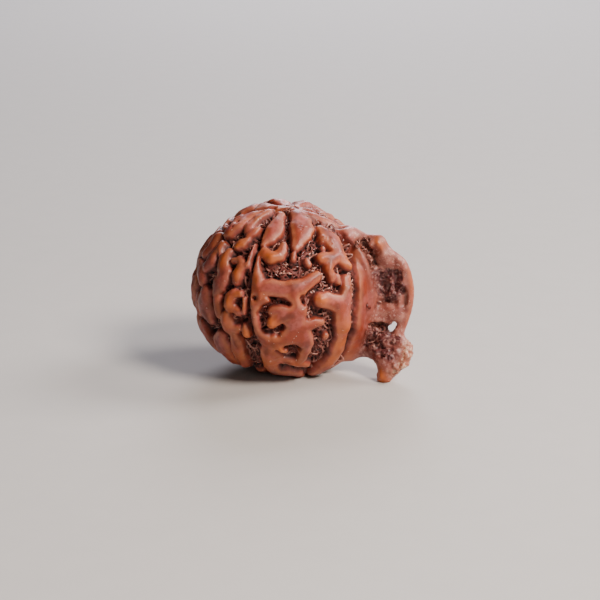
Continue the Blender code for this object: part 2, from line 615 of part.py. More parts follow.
def make_bead():
    """The whole bead, from its plain form to its relief and flat spots."""
    for obj in list(bpy.data.objects):
        bpy.data.objects.remove(obj)
    parts, helpers, cutters = (new_collection(name) for name in ("rudraksha_bead", "helpers", "cutters"))
    mesh = smooth_form(helpers, cutters)
    raise_relief(mesh)
    mesh.materials.clear()
    mesh.materials.append(shell_material())
    bead = new_object("bead", mesh, parts)
    thin = bead.modifiers.new("fewer faces", "DECIMATE")
    mesh.calc_loop_triangles()
    thin.ratio = TARGET_TRIANGLES / len(mesh.loop_triangles)
    add_boolean(bead, "DIFFERENCE", ground_cutter(cutters))
    mesh.shade_smooth()
    mesh.set_sharp_from_angle(angle=math.radians(50))
    for helper in list(helpers.objects) + list(cutters.objects):
        helper.hide_render = True
        helper.hide_set(True)
        helper.display_type = "WIRE"


make_bead()
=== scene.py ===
"""Looks of a rudraksha bead with a trunk: the oiled seed stone and the fibres in its crevices.

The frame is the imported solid. This file raises the same form again from the same values, fine
enough to show its crevices, and dresses it. Shapes are worked out in millimetres from the middle
of the body, and are turned to metres in the row's frame when a piece is made. A place on the body
is given as degrees round the stalk axis from the trunk, counted towards the front, and degrees of
latitude towards the stalk end. A pair of limits gives where a soft change begins and where it ends.
"""

import itertools
import logging
import math
from dataclasses import dataclass
from enum import Enum, IntEnum
from functools import cache
from typing import Any

import bmesh
import bpy
import numpy as np
from bpy.types import ID, Material, Mesh, Node, NodeSocket, NodeTree, Object
from mathutils import Matrix, Vector


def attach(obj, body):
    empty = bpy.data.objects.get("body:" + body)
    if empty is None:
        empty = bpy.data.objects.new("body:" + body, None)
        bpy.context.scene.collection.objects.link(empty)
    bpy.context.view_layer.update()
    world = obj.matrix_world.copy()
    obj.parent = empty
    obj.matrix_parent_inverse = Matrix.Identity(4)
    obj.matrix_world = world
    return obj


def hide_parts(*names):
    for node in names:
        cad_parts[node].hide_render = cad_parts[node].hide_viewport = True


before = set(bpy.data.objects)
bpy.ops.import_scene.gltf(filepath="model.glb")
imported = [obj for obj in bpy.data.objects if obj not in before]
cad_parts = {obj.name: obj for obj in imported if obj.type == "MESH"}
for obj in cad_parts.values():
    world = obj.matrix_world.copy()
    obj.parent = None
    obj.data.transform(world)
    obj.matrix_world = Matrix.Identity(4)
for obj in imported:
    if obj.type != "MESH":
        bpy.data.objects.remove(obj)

MM = 0.001
SEED = 7
MEAN_RADIUS = 10.7  # millimetres, of the body
NOISE_SIZE = 64  # random numbers along each side of a field's table
RIDGE_FIELD = (0.26, 0.02)  # a curled ridge rises while its field falls from the first to the second
FAR = 9.0  # millimetres, further than any lobe or groove reaches
TINY = 1e-9  # keeps a division from meeting 0
TONE = "tone"  # what a fibre's vertex attribute is called

Array = np.ndarray
Place = tuple[float, ...]
Line = tuple[Place, ...]
Colour = tuple[float, float, float, float]
Values = dict[str | int, Any] | None

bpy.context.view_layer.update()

# Crest and trunk, in millimetres: an outline in the XZ plane, from the middle of the body
CREST_OUTLINE: Line = (
    (4.0, 6.5), (7.3, 8.0), (8.6, 8.15), (10.3, 7.4), (11.8, 7.45), (12.6, 6.85), (13.1, 5.95),
    (14.1, 5.2), (15.1, 4.4), (15.8, 2.8), (16.15, 0.8), (16.05, -1.1), (15.6, -3.0), (15.15, -4.5),
    (15.3, -5.2), (16.0, -5.5), (16.45, -6.6), (15.95, -7.9), (14.8, -9.2), (13.3, -10.5),
    (12.1, -10.0), (12.2, -8.9), (11.7, -8.1), (10.9, -7.95), (9.5, -8.2), (8.4, -8.7), (4.0, -7.5),
)
# Hollows in the crest's faces, shallower behind: each a line of (X, Z, half-width)
CREST_HOLLOWS: tuple[Line, ...] = (
    ((9.5, 6.4, 0.3), (10.1, 6.1, 0.4), (10.5, 5.6, 0.4), (11.1, 4.9, 0.42), (11.4, 3.9, 0.3)),
    ((12.2, 2.6, 0.5), (12.6, 1.6, 0.75), (12.6, 0.6, 0.6)),
    ((13.0, 2.9, 0.4), (14.2, 2.7, 0.55), (14.2, 1.4, 0.5)),
    ((11.0, -0.9, 0.35), (11.8, -1.0, 0.3), (12.8, -0.75, 0.35), (13.8, -0.7, 0.3)),
    ((15.0, 0.6, 0.25), (15.0, -0.8, 0.25)),
    ((10.9, -3.75, 0.28), (12.2, -3.8, 0.3), (13.3, -3.9, 0.35)),
    ((12.3, -4.35, 0.35), (13.2, -4.4, 0.4)),
    ((10.7, -5.6, 0.4), (11.6, -5.7, 0.45), (12.6, -6.2, 0.45)),
)
# Swollen places of the crest's faces, in the same way
CREST_SWELLS: tuple[Line, ...] = (
    ((11.0, -2.6, 0.8), (12.4, -2.35, 0.9), (14.2, -2.2, 0.75)),
    ((10.9, 6.6, 0.5), (11.8, 6.4, 0.6), (12.6, 5.4, 0.7), (12.8, 4.4, 0.6)),
)
# Grooves between the faces: each a line of (round, latitude, half-width in millimetres)
SHOWN_GROOVES: tuple[Line, ...] = (
    ((12, 77, 0.12), (5, 68, 0.16), (1.5, 59, 0.18), (4, 52, 0.2), (9, 45, 0.22), (15, 38, 0.26),
     (18.5, 29, 0.26), (22, 20, 0.3), (24, 11, 0.34), (25, 0, 0.34), (25, -10, 0.32),
     (24.5, -20, 0.28), (23, -30, 0.26), (24, -42, 0.24), (34, -60, 0.2)),
    ((127, 79, 0.14), (117, 65, 0.22), (108, 53, 0.24), (103.5, 40, 0.24), (100.5, 22, 0.24), (97.8, 8, 0.24),
     (95.3, -2, 0.24), (92.8, -12, 0.24), (90.8, -22, 0.24), (90, -36, 0.26), (86, -58, 0.2)),
    ((90, 81, 0.14), (81, 73, 0.2), (78, 66, 0.22), (75.5, 60, 0.2), (73.5, 55, 0.16)),
    ((140, 33, 0.16), (133, 22, 0.24), (130, 12, 0.24), (127, 3, 0.22), (123, -4, 0.16)),
)
# Grooves of the hidden sides: degrees round at the equator
HIDDEN_GROOVES = (172, 218, 262, 304, 338)
HIDDEN_GROOVE_WAVE = 5  # degrees of sway along a hidden groove
HIDDEN_GROOVE_WIDTH = 0.2  # half-width in millimetres
# Lobes of the front: each a line of (round, latitude, half-width in millimetres)
SHOWN_LOBES: tuple[Line, ...] = (
    # round the stalk end
    ((114, 80, 0.7), (99, 72, 0.95), (98, 65, 0.98), (99.5, 60, 0.82), (103, 54.5, 0.42)),
    ((22, 84, 0.85), (38, 77, 1.2), (51, 70, 1.4), (56, 65.5, 1.25),
     (60.5, 61, 0.85), (64, 57, 0.55), (67, 54.5, 0.4)),
    ((-20, 82, 0.4), (-4, 75, 0.5), (-8, 67, 0.5), (-12, 60, 0.45), (-15, 54, 0.4)),
    ((160, 77, 0.4), (148, 71, 0.45), (141, 65, 0.48), (136, 60, 0.42), (132, 56.5, 0.34)),
    ((195, 79, 0.8), (222, 76, 0.9), (240, 72, 0.8)),
    ((275, 79, 0.8), (300, 72, 0.8), (318, 66, 0.6)),
    # upper right of the front face: the broad lobe, its branch, its leg and the loose balls beside it
    ((19, 65, 0.5), (19, 60, 0.9), (19, 54, 1.1), (20, 49, 0.95),
     (23, 44, 0.9), (21.5, 38.5, 0.62), (20, 34.5, 0.5)),
    ((23, 44, 0.85), (33, 43.5, 0.8), (42, 45, 0.62)),
    ((36, 42, 0.7), (38.5, 37.5, 0.6), (38, 33.5, 0.5), (38.5, 30.5, 0.35)),
    ((29, 58, 0.5), (25, 57, 0.5)),
    ((69.5, 50, 0.24), (69.5, 46.5, 0.27)),
    ((57.5, 45.5, 0.22), (56.5, 42.5, 0.3)),
    ((36.5, 51.5, 0.22),),
    # the crescent, whose left end is a little shorter than the solid's
    ((98.5, 49.5, 0.38), (95.5, 47.8, 0.7), (90, 46.4, 0.9),
     (84.5, 48, 0.78), (81, 51.5, 0.56), (80.5, 55.5, 0.42)),
    # the broad plate: horn, upper band, left strip, middle, tongues and foot
    ((102.4, 46, 0.2), (101.4, 41, 0.4), (100, 36, 0.58), (98.2, 31, 0.75), (95, 25.5, 1.0)),
    ((94, 24, 1.0), (85, 26, 1.0), (75, 26, 1.0), (66, 27, 1.0), (58, 31, 0.7), (50.5, 34.5, 0.52)),
    ((93.5, 21, 0.95), (93, 14, 0.8), (92.5, 8, 0.55), (91.5, 0, 0.55), (89.5, -7, 0.6), (85, -12, 0.9)),
    ((68, 22, 1.0), (66, 12, 1.05), (68, 4, 1.2), (65, -4, 1.5), (72, -9, 1.2), (80, -13, 1.1)),
    ((68, 12, 1.0), (76, 9, 0.95), (82, 3, 0.66)),
    ((77, 12, 0.6), (82.5, 11, 0.5)),
    ((88.5, 17.5, 0.6),),
    ((61, 1, 0.9), (54, 3.2, 0.5), (50.5, 3, 0.35)),
    ((61, -8, 1.1), (60, -13, 1.0), (58, -20, 0.66), (58.5, -27, 0.5), (61, -32, 0.5)),
    ((80, -13, 1.0), (83, -21, 1.0), (84.5, -30, 0.95), (82.5, -39, 0.9), (79, -47, 0.8)),
    ((74, -18, 0.62), (79, -26, 0.7)),
    ((82, -33, 0.8), (75, -29.5, 0.55), (68, -31, 0.55), (61, -33, 0.55), (54, -35, 0.42)),
    ((76, -50, 0.7), (66, -49, 0.75), (56, -51, 0.7)),
    # right side of the front face
    ((51, 19, 0.8), (45.5, 17.5, 0.9), (39, 14, 1.0), (33, 12, 1.05),
     (29.5, 17, 0.8), (27.5, 22, 0.55), (25.5, 28, 0.42)),
    ((34.5, 8, 1.15), (34, 1, 1.15), (32.5, -5, 1.05), (32, -10, 0.95), (32.3, -17, 0.9), (32.5, -24, 0.85),
     (33, -31, 0.85), (34, -39, 0.95), (38, -50, 0.85)),
    ((33, 31.5, 0.36), (34, 27.5, 0.3)),
    ((46, -8.5, 0.44),),
    # the long ridge beside the crest, and the lobe above it
    ((-1, 38.5, 0.8), (1.5, 33.5, 0.95), (4.5, 27, 1.1), (7.5, 19, 1.25), (9.5, 10, 1.4), (10.7, 0, 1.45),
     (10.8, -10, 1.45), (10.5, -20, 1.35), (11, -30, 1.15), (12.5, -40, 0.9), (19, -52, 0.6)),
    ((0, 56, 0.4), (-1.5, 50.5, 0.6), (-3, 45, 0.6), (-4, 42, 0.4)),
    # left of the front face, top to bottom
    ((109.5, 51.5, 0.25), (107.5, 45.5, 0.28), (107, 41.5, 0.28), (107.5, 36.5, 0.25)),
    ((122, 36, 0.32), (117.5, 38, 0.38), (113.5, 37, 0.4),
     (112, 33.5, 0.52), (112.5, 28.5, 0.57), (111.5, 24.5, 0.42)),
    ((130.5, 39, 0.45), (130, 33.5, 0.75), (127.5, 28.5, 0.9), (124.5, 26, 0.85), (123, 22, 0.92),
     (125, 17, 0.95), (126.5, 12, 0.75)),
    ((106, 17.5, 0.36), (111, 16.2, 0.5), (112.5, 12.5, 0.62),
     (111.5, 8, 0.78), (108, 5, 0.7), (105.5, 5.5, 0.55)),
    ((113.5, -1, 0.7), (113, -4.5, 0.88), (112, -9, 0.75), (106, -8, 0.5), (103.5, -6.2, 0.36)),
    ((123.5, 9, 0.5), (122.5, 3, 0.66), (119.5, -2, 0.6)),
    ((101.5, 15, 0.28), (101, 10.5, 0.3), (100.8, 5.5, 0.17)),
    ((99.6, -3, 0.17), (98.6, -7, 0.5), (98, -9, 0.56)),
    ((107.5, -13, 0.45), (106.5, -17.5, 0.68), (105.5, -23, 0.78),
     (106, -29, 0.75), (106, -36, 0.65), (106, -44, 0.6)),
    ((119, -19, 0.75), (120, -25, 1.2), (120, -33, 1.25), (117, -41, 1.0)),
    # far left, out to the edge of the view
    ((122.5, 52, 0.36), (124.5, 48, 0.52), (126, 45, 0.44)),
    ((122, 63, 0.3), (123.5, 59, 0.4), (124.5, 55, 0.36)),
    ((180, 75, 0.7), (170, 67, 0.9), (159, 60, 1.0), (151, 55, 0.95), (150, 48.5, 0.88)),
    ((144.5, 39.5, 0.55), (143.5, 34, 0.85), (143.5, 28, 1.0), (145, 22, 0.8)),
    ((158, 17, 0.65), (150.5, 15, 1.0), (144, 12, 0.8)),
    ((135.5, 6, 0.95), (134.5, 0, 1.25), (133.5, -6, 1.15), (129.5, -10, 0.75)),
    ((143, -1, 0.8), (143, -9, 0.9)),
    ((158, 40, 0.6), (158, 32, 0.7), (159, 25, 0.55)),
    ((157, 5, 0.8), (156, -4, 0.9), (155, -12, 0.6)),
    ((144, -22, 0.7), (136, -30, 0.8), (130, -37, 0.7)),
    ((156, -22, 0.6), (150, -32, 0.7), (144, -40, 0.6)),
    # the lobe that the bead rests on
    ((53, -79, 2.4),),
)
# Hollows cut into the lobes: each a line of (round, latitude, half-width in millimetres)
SHOWN_HOLLOWS: tuple[Line, ...] = (
    ((81.5, 18.5, 0.32), (77, 18, 0.4), (72.5, 16.5, 0.3)),
    ((84.5, 15.5, 0.24), (88, 12, 0.34), (89.8, 8, 0.36), (89, 3, 0.27), (87.4, -2, 0.27), (85, -4.5, 0.27),
     (81.5, -4.8, 0.22)),
    ((78, -5, 0.28),),
    ((75, 0.5, 0.22),),
    ((72, -15.5, 0.28), (67, -14.8, 0.42), (63.5, -17, 0.3)),
    ((77.5, -19, 0.24), (73, -22.5, 0.3), (68.5, -24.5, 0.3), (64.5, -25, 0.22)),
    ((63, 20.5, 0.32), (62.2, 17, 0.25)),
    ((58.5, 20, 0.42), (57, 13, 0.42), (53, 9, 0.4), (48, 8.5, 0.42), (45, 4, 0.4), (42.5, -2, 0.34)),
    ((38.5, -12, 0.26),),
    ((33, 35.5, 0.42),),
    ((107, 11, 0.3),),
    ((109, 1.5, 0.3), (104, -1.5, 0.34)),
    ((153.5, 56, 0.14),),
    ((95.3, 17.5, 0.22),),
    ((90.5, 52.5, 0.36),),
)
# Knobs that stand up from the lobes: round, latitude, radius and height in millimetres
SHOWN_KNOBS: Line = (
    (82, 2.5, 0.7, 0.3),
    (75, -17.5, 0.7, 0.22),
    (20, 34.5, 0.7, 0.38),
    (51, 18.5, 0.9, 0.25),
    (21, 54, 0.7, 0.15),
    (29, 58, 0.5, 0.2),
    (38.5, 37, 0.6, 0.15),
    (44, 45, 0.6, 0.2),
    (98.2, -8.5, 0.55, 0.25),
    (32, -4, 1.0, 0.18),
    (28, 21, 0.7, 0.2),
    (89, 45.5, 0.8, 0.2),
    (112, 9, 0.8, 0.2),
    (113, -5, 0.9, 0.2),
    (-2, 48, 0.9, 0.25),
    (150, 54, 1.5, 0.3),
    (162, 38, 1.3, 0.34),
    (163, 21, 1.3, 0.32),
    (162, 4, 1.3, 0.3),
    (160, -12, 1.3, 0.3),
    (156, -30, 1.3, 0.3),
    (226, 70, 1.7, 0.34),
    (286, 70, 1.7, 0.34),
)
# Lobes of the hidden sides follow a formula instead: the valleys that part them are the lines
# where two seeded fields cross zero
SHOWN_ROUND = (-12, -5, 158, 166)  # degrees round over which the lists above fade in and out
SHOWN_LOWEST = (-52, -46)
WILD_LENGTHS = (1.9, 2.7)  # millimetres, which set how broad the lobes grow
WILD_STRETCH = 0.62  # they run this much longer along the stalk axis
WILD_BEND = 0.9
WILD_BEND_LENGTH = 3.1
VALLEY = 0.11

# Fine marks that only this file adds

# Pinholes in the lobes: round, latitude, radius and depth in millimetres
PINHOLES: Line = (
    (57, 69, 0.13, 0.16), (54.5, 70.5, 0.1, 0.12), (53, 68, 0.12, 0.16), (55.5, 66.5, 0.1, 0.12),
    (58, 66, 0.09, 0.1), (51.5, 70, 0.09, 0.1), (148, 52, 0.14, 0.2), (62, 30, 0.08, 0.08),
    (70, 7, 0.08, 0.08), (66, 1, 0.07, 0.07), (36, 3, 0.08, 0.08), (84, -24, 0.09, 0.1),
)
# Places where the stone is worn to orange, an orange that also paints light glowing through thin knobs:
# round, latitude, radius in millimetres and strength
AMBER_PLACES: Line = (
    (89, 45.5, 1.0, 0.9), (20, 35, 1.0, 1.0), (51, 19, 1.0, 0.8), (75, -17.5, 1.2, 0.9),
    (82, 2.5, 0.8, 0.9), (112, 9, 1.3, 0.7), (124, 48, 0.8, 0.9), (32, -4, 1.5, 0.7),
    (98.2, -8.5, 0.8, 0.9), (112, 30, 0.9, 0.6), (130, 32, 1.0, 0.5), (44, 45, 0.7, 0.5),
    (33, -17, 1.4, 0.7), (33, -30, 1.5, 0.8), (13, -38, 1.5, 0.6), (106, 17, 0.8, 0.7),
    (100, 10, 0.6, 0.7), (97, 30, 1.0, 0.4), (60, 20, 0.9, 0.4), (113, -6, 1.0, 0.5),
    (84, -33, 1.6, 0.6), (62, -33, 1.2, 0.5), (106, -30, 1.2, 0.5), (38, 36, 0.7, 0.4),
    (200, 20, 2.2, 0.5), (240, -15, 2.4, 0.5), (285, 25, 2.2, 0.5), (320, -10, 2.0, 0.5),
)
# Places in the crest, as X, Z and half-width in millimetres
WEB_PATCH: tuple[Line, ...] = (
    ((11.8, 2.4, 0.8), (12.4, 1.2, 1.1), (13.4, 0.4, 1.0)),
    ((13.0, 2.6, 0.7), (14.2, 2.6, 0.8), (14.4, 0.8, 0.8)),
)
UNDER_SLOT: tuple[Line, ...] = (
    ((10.9, -4.4, 0.4), (12.0, -4.9, 0.7), (13.4, -5.2, 0.6), (14.4, -5.2, 0.3)),
    ((10.4, -5.9, 0.5), (12.4, -6.4, 0.8), (13.8, -6.8, 0.5)),
)
# The shadowed recess that runs in to the slot
RECESS: tuple[Line, ...] = (((11.0, -3.5, 0.15), (12.2, -3.7, 0.35), (13.2, -4.2, 0.5)),)
BROKEN_END: tuple[Line, ...] = (((15.7, -5.9, 0.5), (16.0, -6.8, 0.6), (15.4, -8.0, 0.7), (14.4, -9.0, 0.5)),)
CURLED_PLACES: tuple[Line, ...] = (
    ((10.9, -0.9, 0.4), (11.9, -1.1, 0.3)),
    ((10.9, -4.1, 0.4), (12.2, -4.6, 0.5)),
    ((10.7, -5.7, 0.4), (12.0, -6.1, 0.4)),
)
AMBER_ENDS: tuple[Line, ...] = (
    ((11.7, 7.0, 0.4), (12.4, 6.2, 0.6)),
    ((12.6, -9.0, 0.7), (13.4, -10.2, 0.9)),
)
ROOT_PITS: tuple[Line, ...] = (
    ((9.4, 6.4, 0.35), (10.2, 6.0, 0.5), (10.9, 5.1, 0.45), (11.3, 4.0, 0.35)),
    ((9.9, 6.4, 0.3), (10.5, 6.8, 0.3)),
)


class Mask(Enum):
    """What a vertex attribute of the skin says, from 0 to 1."""

    # painted shade where shade falls: the crevices' floors, the crest's pits, its recess and its hollows
    PAINTED_SHADE = "painted_shade"
    PULP = "pulp"
    # orange wear on the knobs, which also paints light glowing through them, and a painted highlight along
    # the crest's rim
    WEAR_AND_PAINTED_LIGHT = "amber"
    # a painted highlight along the inside of the lobes' edges
    EDGE = "edge"
    CREST = "crest"
    TORN = "torn"
    BROKEN = "broken"


class Side(Enum):
    """Which fibres a piece holds."""

    SHOWN = "front_fibres"
    HIDDEN = "back_fibres"


class Field(IntEnum):
    """The seed of each random field. A curled one also takes some of the six seeds after its own."""

    RAGGED = SEED
    SWAY = SEED + 1
    FRAYED = SEED + 2
    CREST_GRAIN = SEED + 3
    WILD_BENDS = SEED + 10
    WILD_LOBES = SEED + 20
    FLOOR_THREADS = SEED + 30
    DENTS = SEED + 31
    FINE_DENTS = SEED + 32
    LUMPS = SEED + 40
    CREST_THREADS = SEED + 41
    CREST_SWAY = SEED + 42
    TORN_EDGE = SEED + 43
    HOLLOW_EDGE = SEED + 44
    PORES = SEED + 50
    SHOWN_FIBRES = SEED + 60
    HIDDEN_FIBRES = SEED + 61


def smooth_step(low: float, high: float, value: Array) -> Array:
    """0 below low, 1 above high, and a soft S between them."""
    share = np.clip((value - low) / (high - low), 0.0, 1.0)
    return share * share * (3.0 - 2.0 * share)


def smooth_max(a: Array, b: Array, blend: float) -> Array:
    """The larger of two fields, rounded where they meet."""
    share = np.clip(0.5 + 0.5 * (a - b) / blend, 0.0, 1.0)
    return b + (a - b) * share + blend * share * (1.0 - share)


@cache
def noise_table(seed: int) -> Array:
    """The random numbers that one field is drawn from."""
    return np.random.default_rng(seed).uniform(-1.0, 1.0, (NOISE_SIZE,) * 3)


def lattice_noise(points: Array, wavelength: float, seed: int) -> Array:
    """A smooth random field that repeats no pattern within the part.

    Args:
        points: places in millimetres, one a row.
        wavelength: millimetres from one lump to the next.
        seed: which field.

    Returns:
        About -1 to 1 for each place.
    """
    table = noise_table(seed)
    scaled = points / wavelength
    cell = np.floor(scaled).astype(int)
    part = scaled - cell
    part = part * part * (3.0 - 2.0 * part)
    total = np.zeros(len(points))
    for corner in itertools.product((0, 1), repeat=3):
        weight = np.prod(np.where(corner, part, 1.0 - part), axis=1)
        i, j, k = ((cell + corner) % NOISE_SIZE).T
        total += weight * table[i, j, k]
    return total


def lattice_shift(points: Array, wavelength: float, seed: int) -> Array:
    """A random shift along each axis, from three fields with seeds in a row."""
    return np.stack([lattice_noise(points, wavelength, seed + axis) for axis in range(3)], axis=1)


def curled_noise(points: Array, wavelength: float, seed: int) -> Array:
    """Thin winding ridges, like matted fibres, where one of two bent fields crosses zero.

    Args:
        points: places in millimetres, one a row.
        wavelength: millimetres from one ridge to the next.
        seed: which field.

    Returns:
        1 on a ridge's crest and 0 away from it.
    """
    shift_reach, shift_length, second_length = 0.6, 1.7, 0.8  # shares of the wavelength
    second_height, aside = 0.8, 5.0
    shift = shift_reach * wavelength * lattice_shift(points, wavelength * shift_length, seed + 1)
    first = np.abs(lattice_noise(points + shift, wavelength, seed + 5))
    second = np.abs(lattice_noise(points - shift + aside, wavelength * second_length, seed + 6))
    return np.maximum(smooth_step(*RIDGE_FIELD, first), second_height * smooth_step(*RIDGE_FIELD, second))


def direction(round_degrees: float, latitude: float) -> Array:
    """Unit vector of a place on the body, before the stalk axis leans."""
    turn, rise = math.radians(-round_degrees), math.radians(latitude)
    return np.array((math.cos(rise) * math.cos(turn), math.cos(rise) * math.sin(turn), math.sin(rise)))


def away_from(directions: Array, turn: float, latitude: float) -> Array:
    """Millimetres from each direction to a place on the body."""
    return np.linalg.norm(directions - direction(turn, latitude), axis=1) * MEAN_RADIUS


def segments(lines: tuple[Line, ...]) -> list[tuple[Array, Array, float, float]]:
    """The straight stretches of lines on the body.

    Args:
        lines: lines of (round, latitude, half-width). One with a single place is a round spot.

    Returns:
        Start, end, half-width at the start and half-width at the end of each stretch.
    """
    found = []
    for line in lines:
        ends = [(direction(turn, latitude), width) for turn, latitude, width in line]
        pairs = zip(ends, ends[1:]) if len(ends) > 1 else [(ends[0], ends[0])]
        found += [(a, b, wide_a, wide_b) for (a, wide_a), (b, wide_b) in pairs]
    return found


def depth_inside(directions: Array, lines: tuple[Line, ...], blend: float) -> Array:
    """How far inside the nearest line each direction lies.

    Args:
        directions: unit vectors, one a row.
        lines: lines on the body with half-widths in millimetres.
        blend: millimetres over which lines that meet flow together.

    Returns:
        Millimetres, above 0 inside a line and below 0 outside all of them.
    """
    reach = 2.0  # a line is left out for places further from it than this
    inside = np.full(len(directions), -FAR)
    for start, end, wide_start, wide_end in segments(lines):
        run = end - start
        middle = (start + end) / 2
        far = (0.5 * np.linalg.norm(run) * MEAN_RADIUS + max(wide_start, wide_end) + reach) / MEAN_RADIUS
        near = np.flatnonzero(directions @ middle > 1.0 - 0.5 * far * far - 0.5 * (1.0 - middle @ middle))
        offset = directions[near] - start
        share = np.clip(offset @ run / max(run @ run, TINY), 0.0, 1.0)
        gap = np.linalg.norm(offset - share[:, None] * run, axis=1) * MEAN_RADIUS
        width = wide_start + share * (wide_end - wide_start)
        inside[near] = smooth_max(inside[near], width - gap, blend)
    return inside


def line_distance(x: Array, z: Array, stretches: list[tuple[Any, Any]]) -> Array:
    """Distance in the XZ plane to the nearest of some straight stretches.

    Args:
        x: millimetres from the middle of the body.
        z: the same, upwards.
        stretches: start and end of each, as X and Z.

    Returns:
        Millimetres for each point.
    """
    nearest = np.full(len(x), np.inf)
    for (ax, az), (bx, bz) in stretches:
        run_x, run_z = bx - ax, bz - az
        share = ((x - ax) * run_x + (z - az) * run_z) / max(run_x**2 + run_z**2, TINY)
        share = np.clip(share, 0.0, 1.0)
        nearest = np.minimum(nearest, np.hypot(x - ax - share * run_x, z - az - share * run_z))
    return nearest


def within(x: Array, z: Array, lines: tuple[Line, ...], soft: float) -> Array:
    """Which points of the XZ plane lie within lines on the crest.

    Args:
        x: millimetres from the middle of the body.
        z: the same, upwards.
        lines: lines of (X, Z, half-width).
        soft: millimetres on each side of a line's edge that it fades over.

    Returns:
        1 inside a line and 0 outside all of them.
    """
    inside = np.zeros(len(x))
    for line in lines:
        for (ax, az, wide_a), (bx, bz, wide_b) in zip(line, line[1:]):
            away = line_distance(x, z, [((ax, az), (bx, bz))]) - 0.5 * (wide_a + wide_b)
            inside = np.maximum(inside, smooth_step(soft, -soft, away))
    return inside


def unit(vectors: Array) -> Array:
    """The vectors, which stand along the last axis, at a length of 1."""
    return vectors / np.maximum(np.linalg.norm(vectors, axis=-1), TINY)[..., None]


def get_vectors(items: Any, attribute: str) -> Array:
    """Three numbers from each of a mesh's items, one item a row.

    Args:
        items: the mesh's vertices or its vertex normals.
        attribute: the name of the numbers.

    Returns:
        The numbers.
    """
    vectors = np.empty(len(items) * 3)
    items.foreach_get(attribute, vectors)
    return vectors.reshape(-1, 3)


def get_points(mesh: Mesh) -> Array:
    """The mesh's vertices, one a row."""
    return get_vectors(mesh.vertices, "co")


def get_normals(mesh: Mesh) -> Array:
    """The mesh's vertex normals, one a row."""
    return get_vectors(mesh.vertex_normals, "vector")


def set_points(mesh: Mesh, points: Array) -> None:
    """Moves the mesh's vertices."""
    mesh.vertices.foreach_set("co", points.astype(np.float32).ravel())
    mesh.update()


def set_attribute(mesh: Mesh, name: str, values: Array) -> None:
    """Gives the mesh an attribute with one number a vertex."""
    mesh.attributes.new(name, "FLOAT", "POINT").data.foreach_set("value", values.astype(np.float32))


def to_mesh(form: bmesh.types.BMesh, name: str) -> Mesh:
    """A mesh of the form, which is freed.

    Args:
        form: the faces.
        name: the mesh's name.

    Returns:
        The mesh.
    """
    mesh = bpy.data.meshes.new(name)
    form.to_mesh(mesh)
    form.free()
    return mesh


def new_object(name: str, data: ID) -> Object:
    """A new object in the scene.

    Args:
        name: the object's name.
        data: the mesh, curve, lamp or camera that it holds.

    Returns:
        The object.
    """
    obj = bpy.data.objects.new(name, data)
    bpy.context.scene.collection.objects.link(obj)
    return obj


def evaluated(obj: Object, name: str) -> Mesh:
    """The object's mesh with its modifiers applied. The object itself is removed.

    Args:
        obj: the object.
        name: the new mesh's name.

    Returns:
        The mesh, in the scene's own axes.
    """
    bpy.context.view_layer.update()
    graph = bpy.context.evaluated_depsgraph_get()
    graph.update()
    mesh = bpy.data.meshes.new_from_object(obj.evaluated_get(graph))
    mesh.name = name
    mesh.transform(obj.matrix_world)
    bpy.data.objects.remove(obj)
    return mesh


def even_grain(mesh: Mesh, voxel: float, smooth_steps: int = 0) -> Mesh:
    """The same form in faces of one size.

    Args:
        mesh: the form.
        voxel: the size of a face.
        smooth_steps: how many times it is softened.

    Returns:
        The new mesh.
    """
    obj = new_object("even_grain", mesh)
    grain = obj.modifiers.new("even grain", "REMESH")
    grain.mode = "VOXEL"
    grain.voxel_size = voxel
    if smooth_steps:
        soften = obj.modifiers.new("soften", "SMOOTH")
        soften.factor = 0.5
        soften.iterations = smooth_steps
    return evaluated(obj, "even_grain")


def linear(hex_code: str) -> Colour:
    """An sRGB colour as the linear one that shaders use.

    Args:
        hex_code: six hex digits.

    Returns:
        Linear red, green, blue and an alpha of 1.
    """
    parts = [int(hex_code[i : i + 2], 16) / 255 for i in (0, 2, 4)]
    red, green, blue = (p / 12.92 if p <= 0.04045 else ((p + 0.055) / 1.055) ** 2.4 for p in parts)
    return (red, green, blue, 1.0)


def new_material(name: str, values: dict[str, Any]) -> tuple[Material, Node]:
    """Starts a material.

    Args:
        name: the material's name.
        values: constant values of its shader's own sockets.

    Returns:
        The material and its shader.
    """
    material = bpy.data.materials.new(name)
    material.use_nodes = True
    shader = material.node_tree.nodes["Principled BSDF"]
    for key, value in values.items():
        shader.inputs[key].default_value = value
    return material, shader


def add_node(tree: NodeTree, kind: str, settings: Values = None, links: Values = None) -> Node:
    """Adds a node with its settings and links.

    Args:
        tree: the material's nodes.
        kind: Blender's name for the node, without ShaderNode.
        settings: properties by name, and input values by name or place.
        links: the output socket that feeds each input, by the input's name or place.

    Returns:
        The new node.
    """
    node = tree.nodes.new("ShaderNode" + kind)
    for key, value in (settings or {}).items():
        if isinstance(key, str) and hasattr(node, key):
            setattr(node, key, value)
        else:
            node.inputs[key].default_value = value
    for key, socket in (links or {}).items():
        tree.links.new(socket, node.inputs[key])
    return node


# A Mix node's sockets by place: the factor, then two numbers or two colours
FACTOR, NUMBER_A, NUMBER_B, COLOUR_A, COLOUR_B = 0, 2, 3, 6, 7
NUMBER_OUT, COLOUR_OUT = 0, 2


@dataclass(frozen=True)
class Layer:
    """One tint laid over those below it, where its mask and its own pattern let it show."""

    tint: str
    mask: Mask | None  # None lays it everywhere
    size: float  # millimetres from one patch of the pattern to the next
    low: float  # the pattern starts to show at this noise
    high: float  # and is full from this one
    least: float = 0.0
    most: float = 1.0


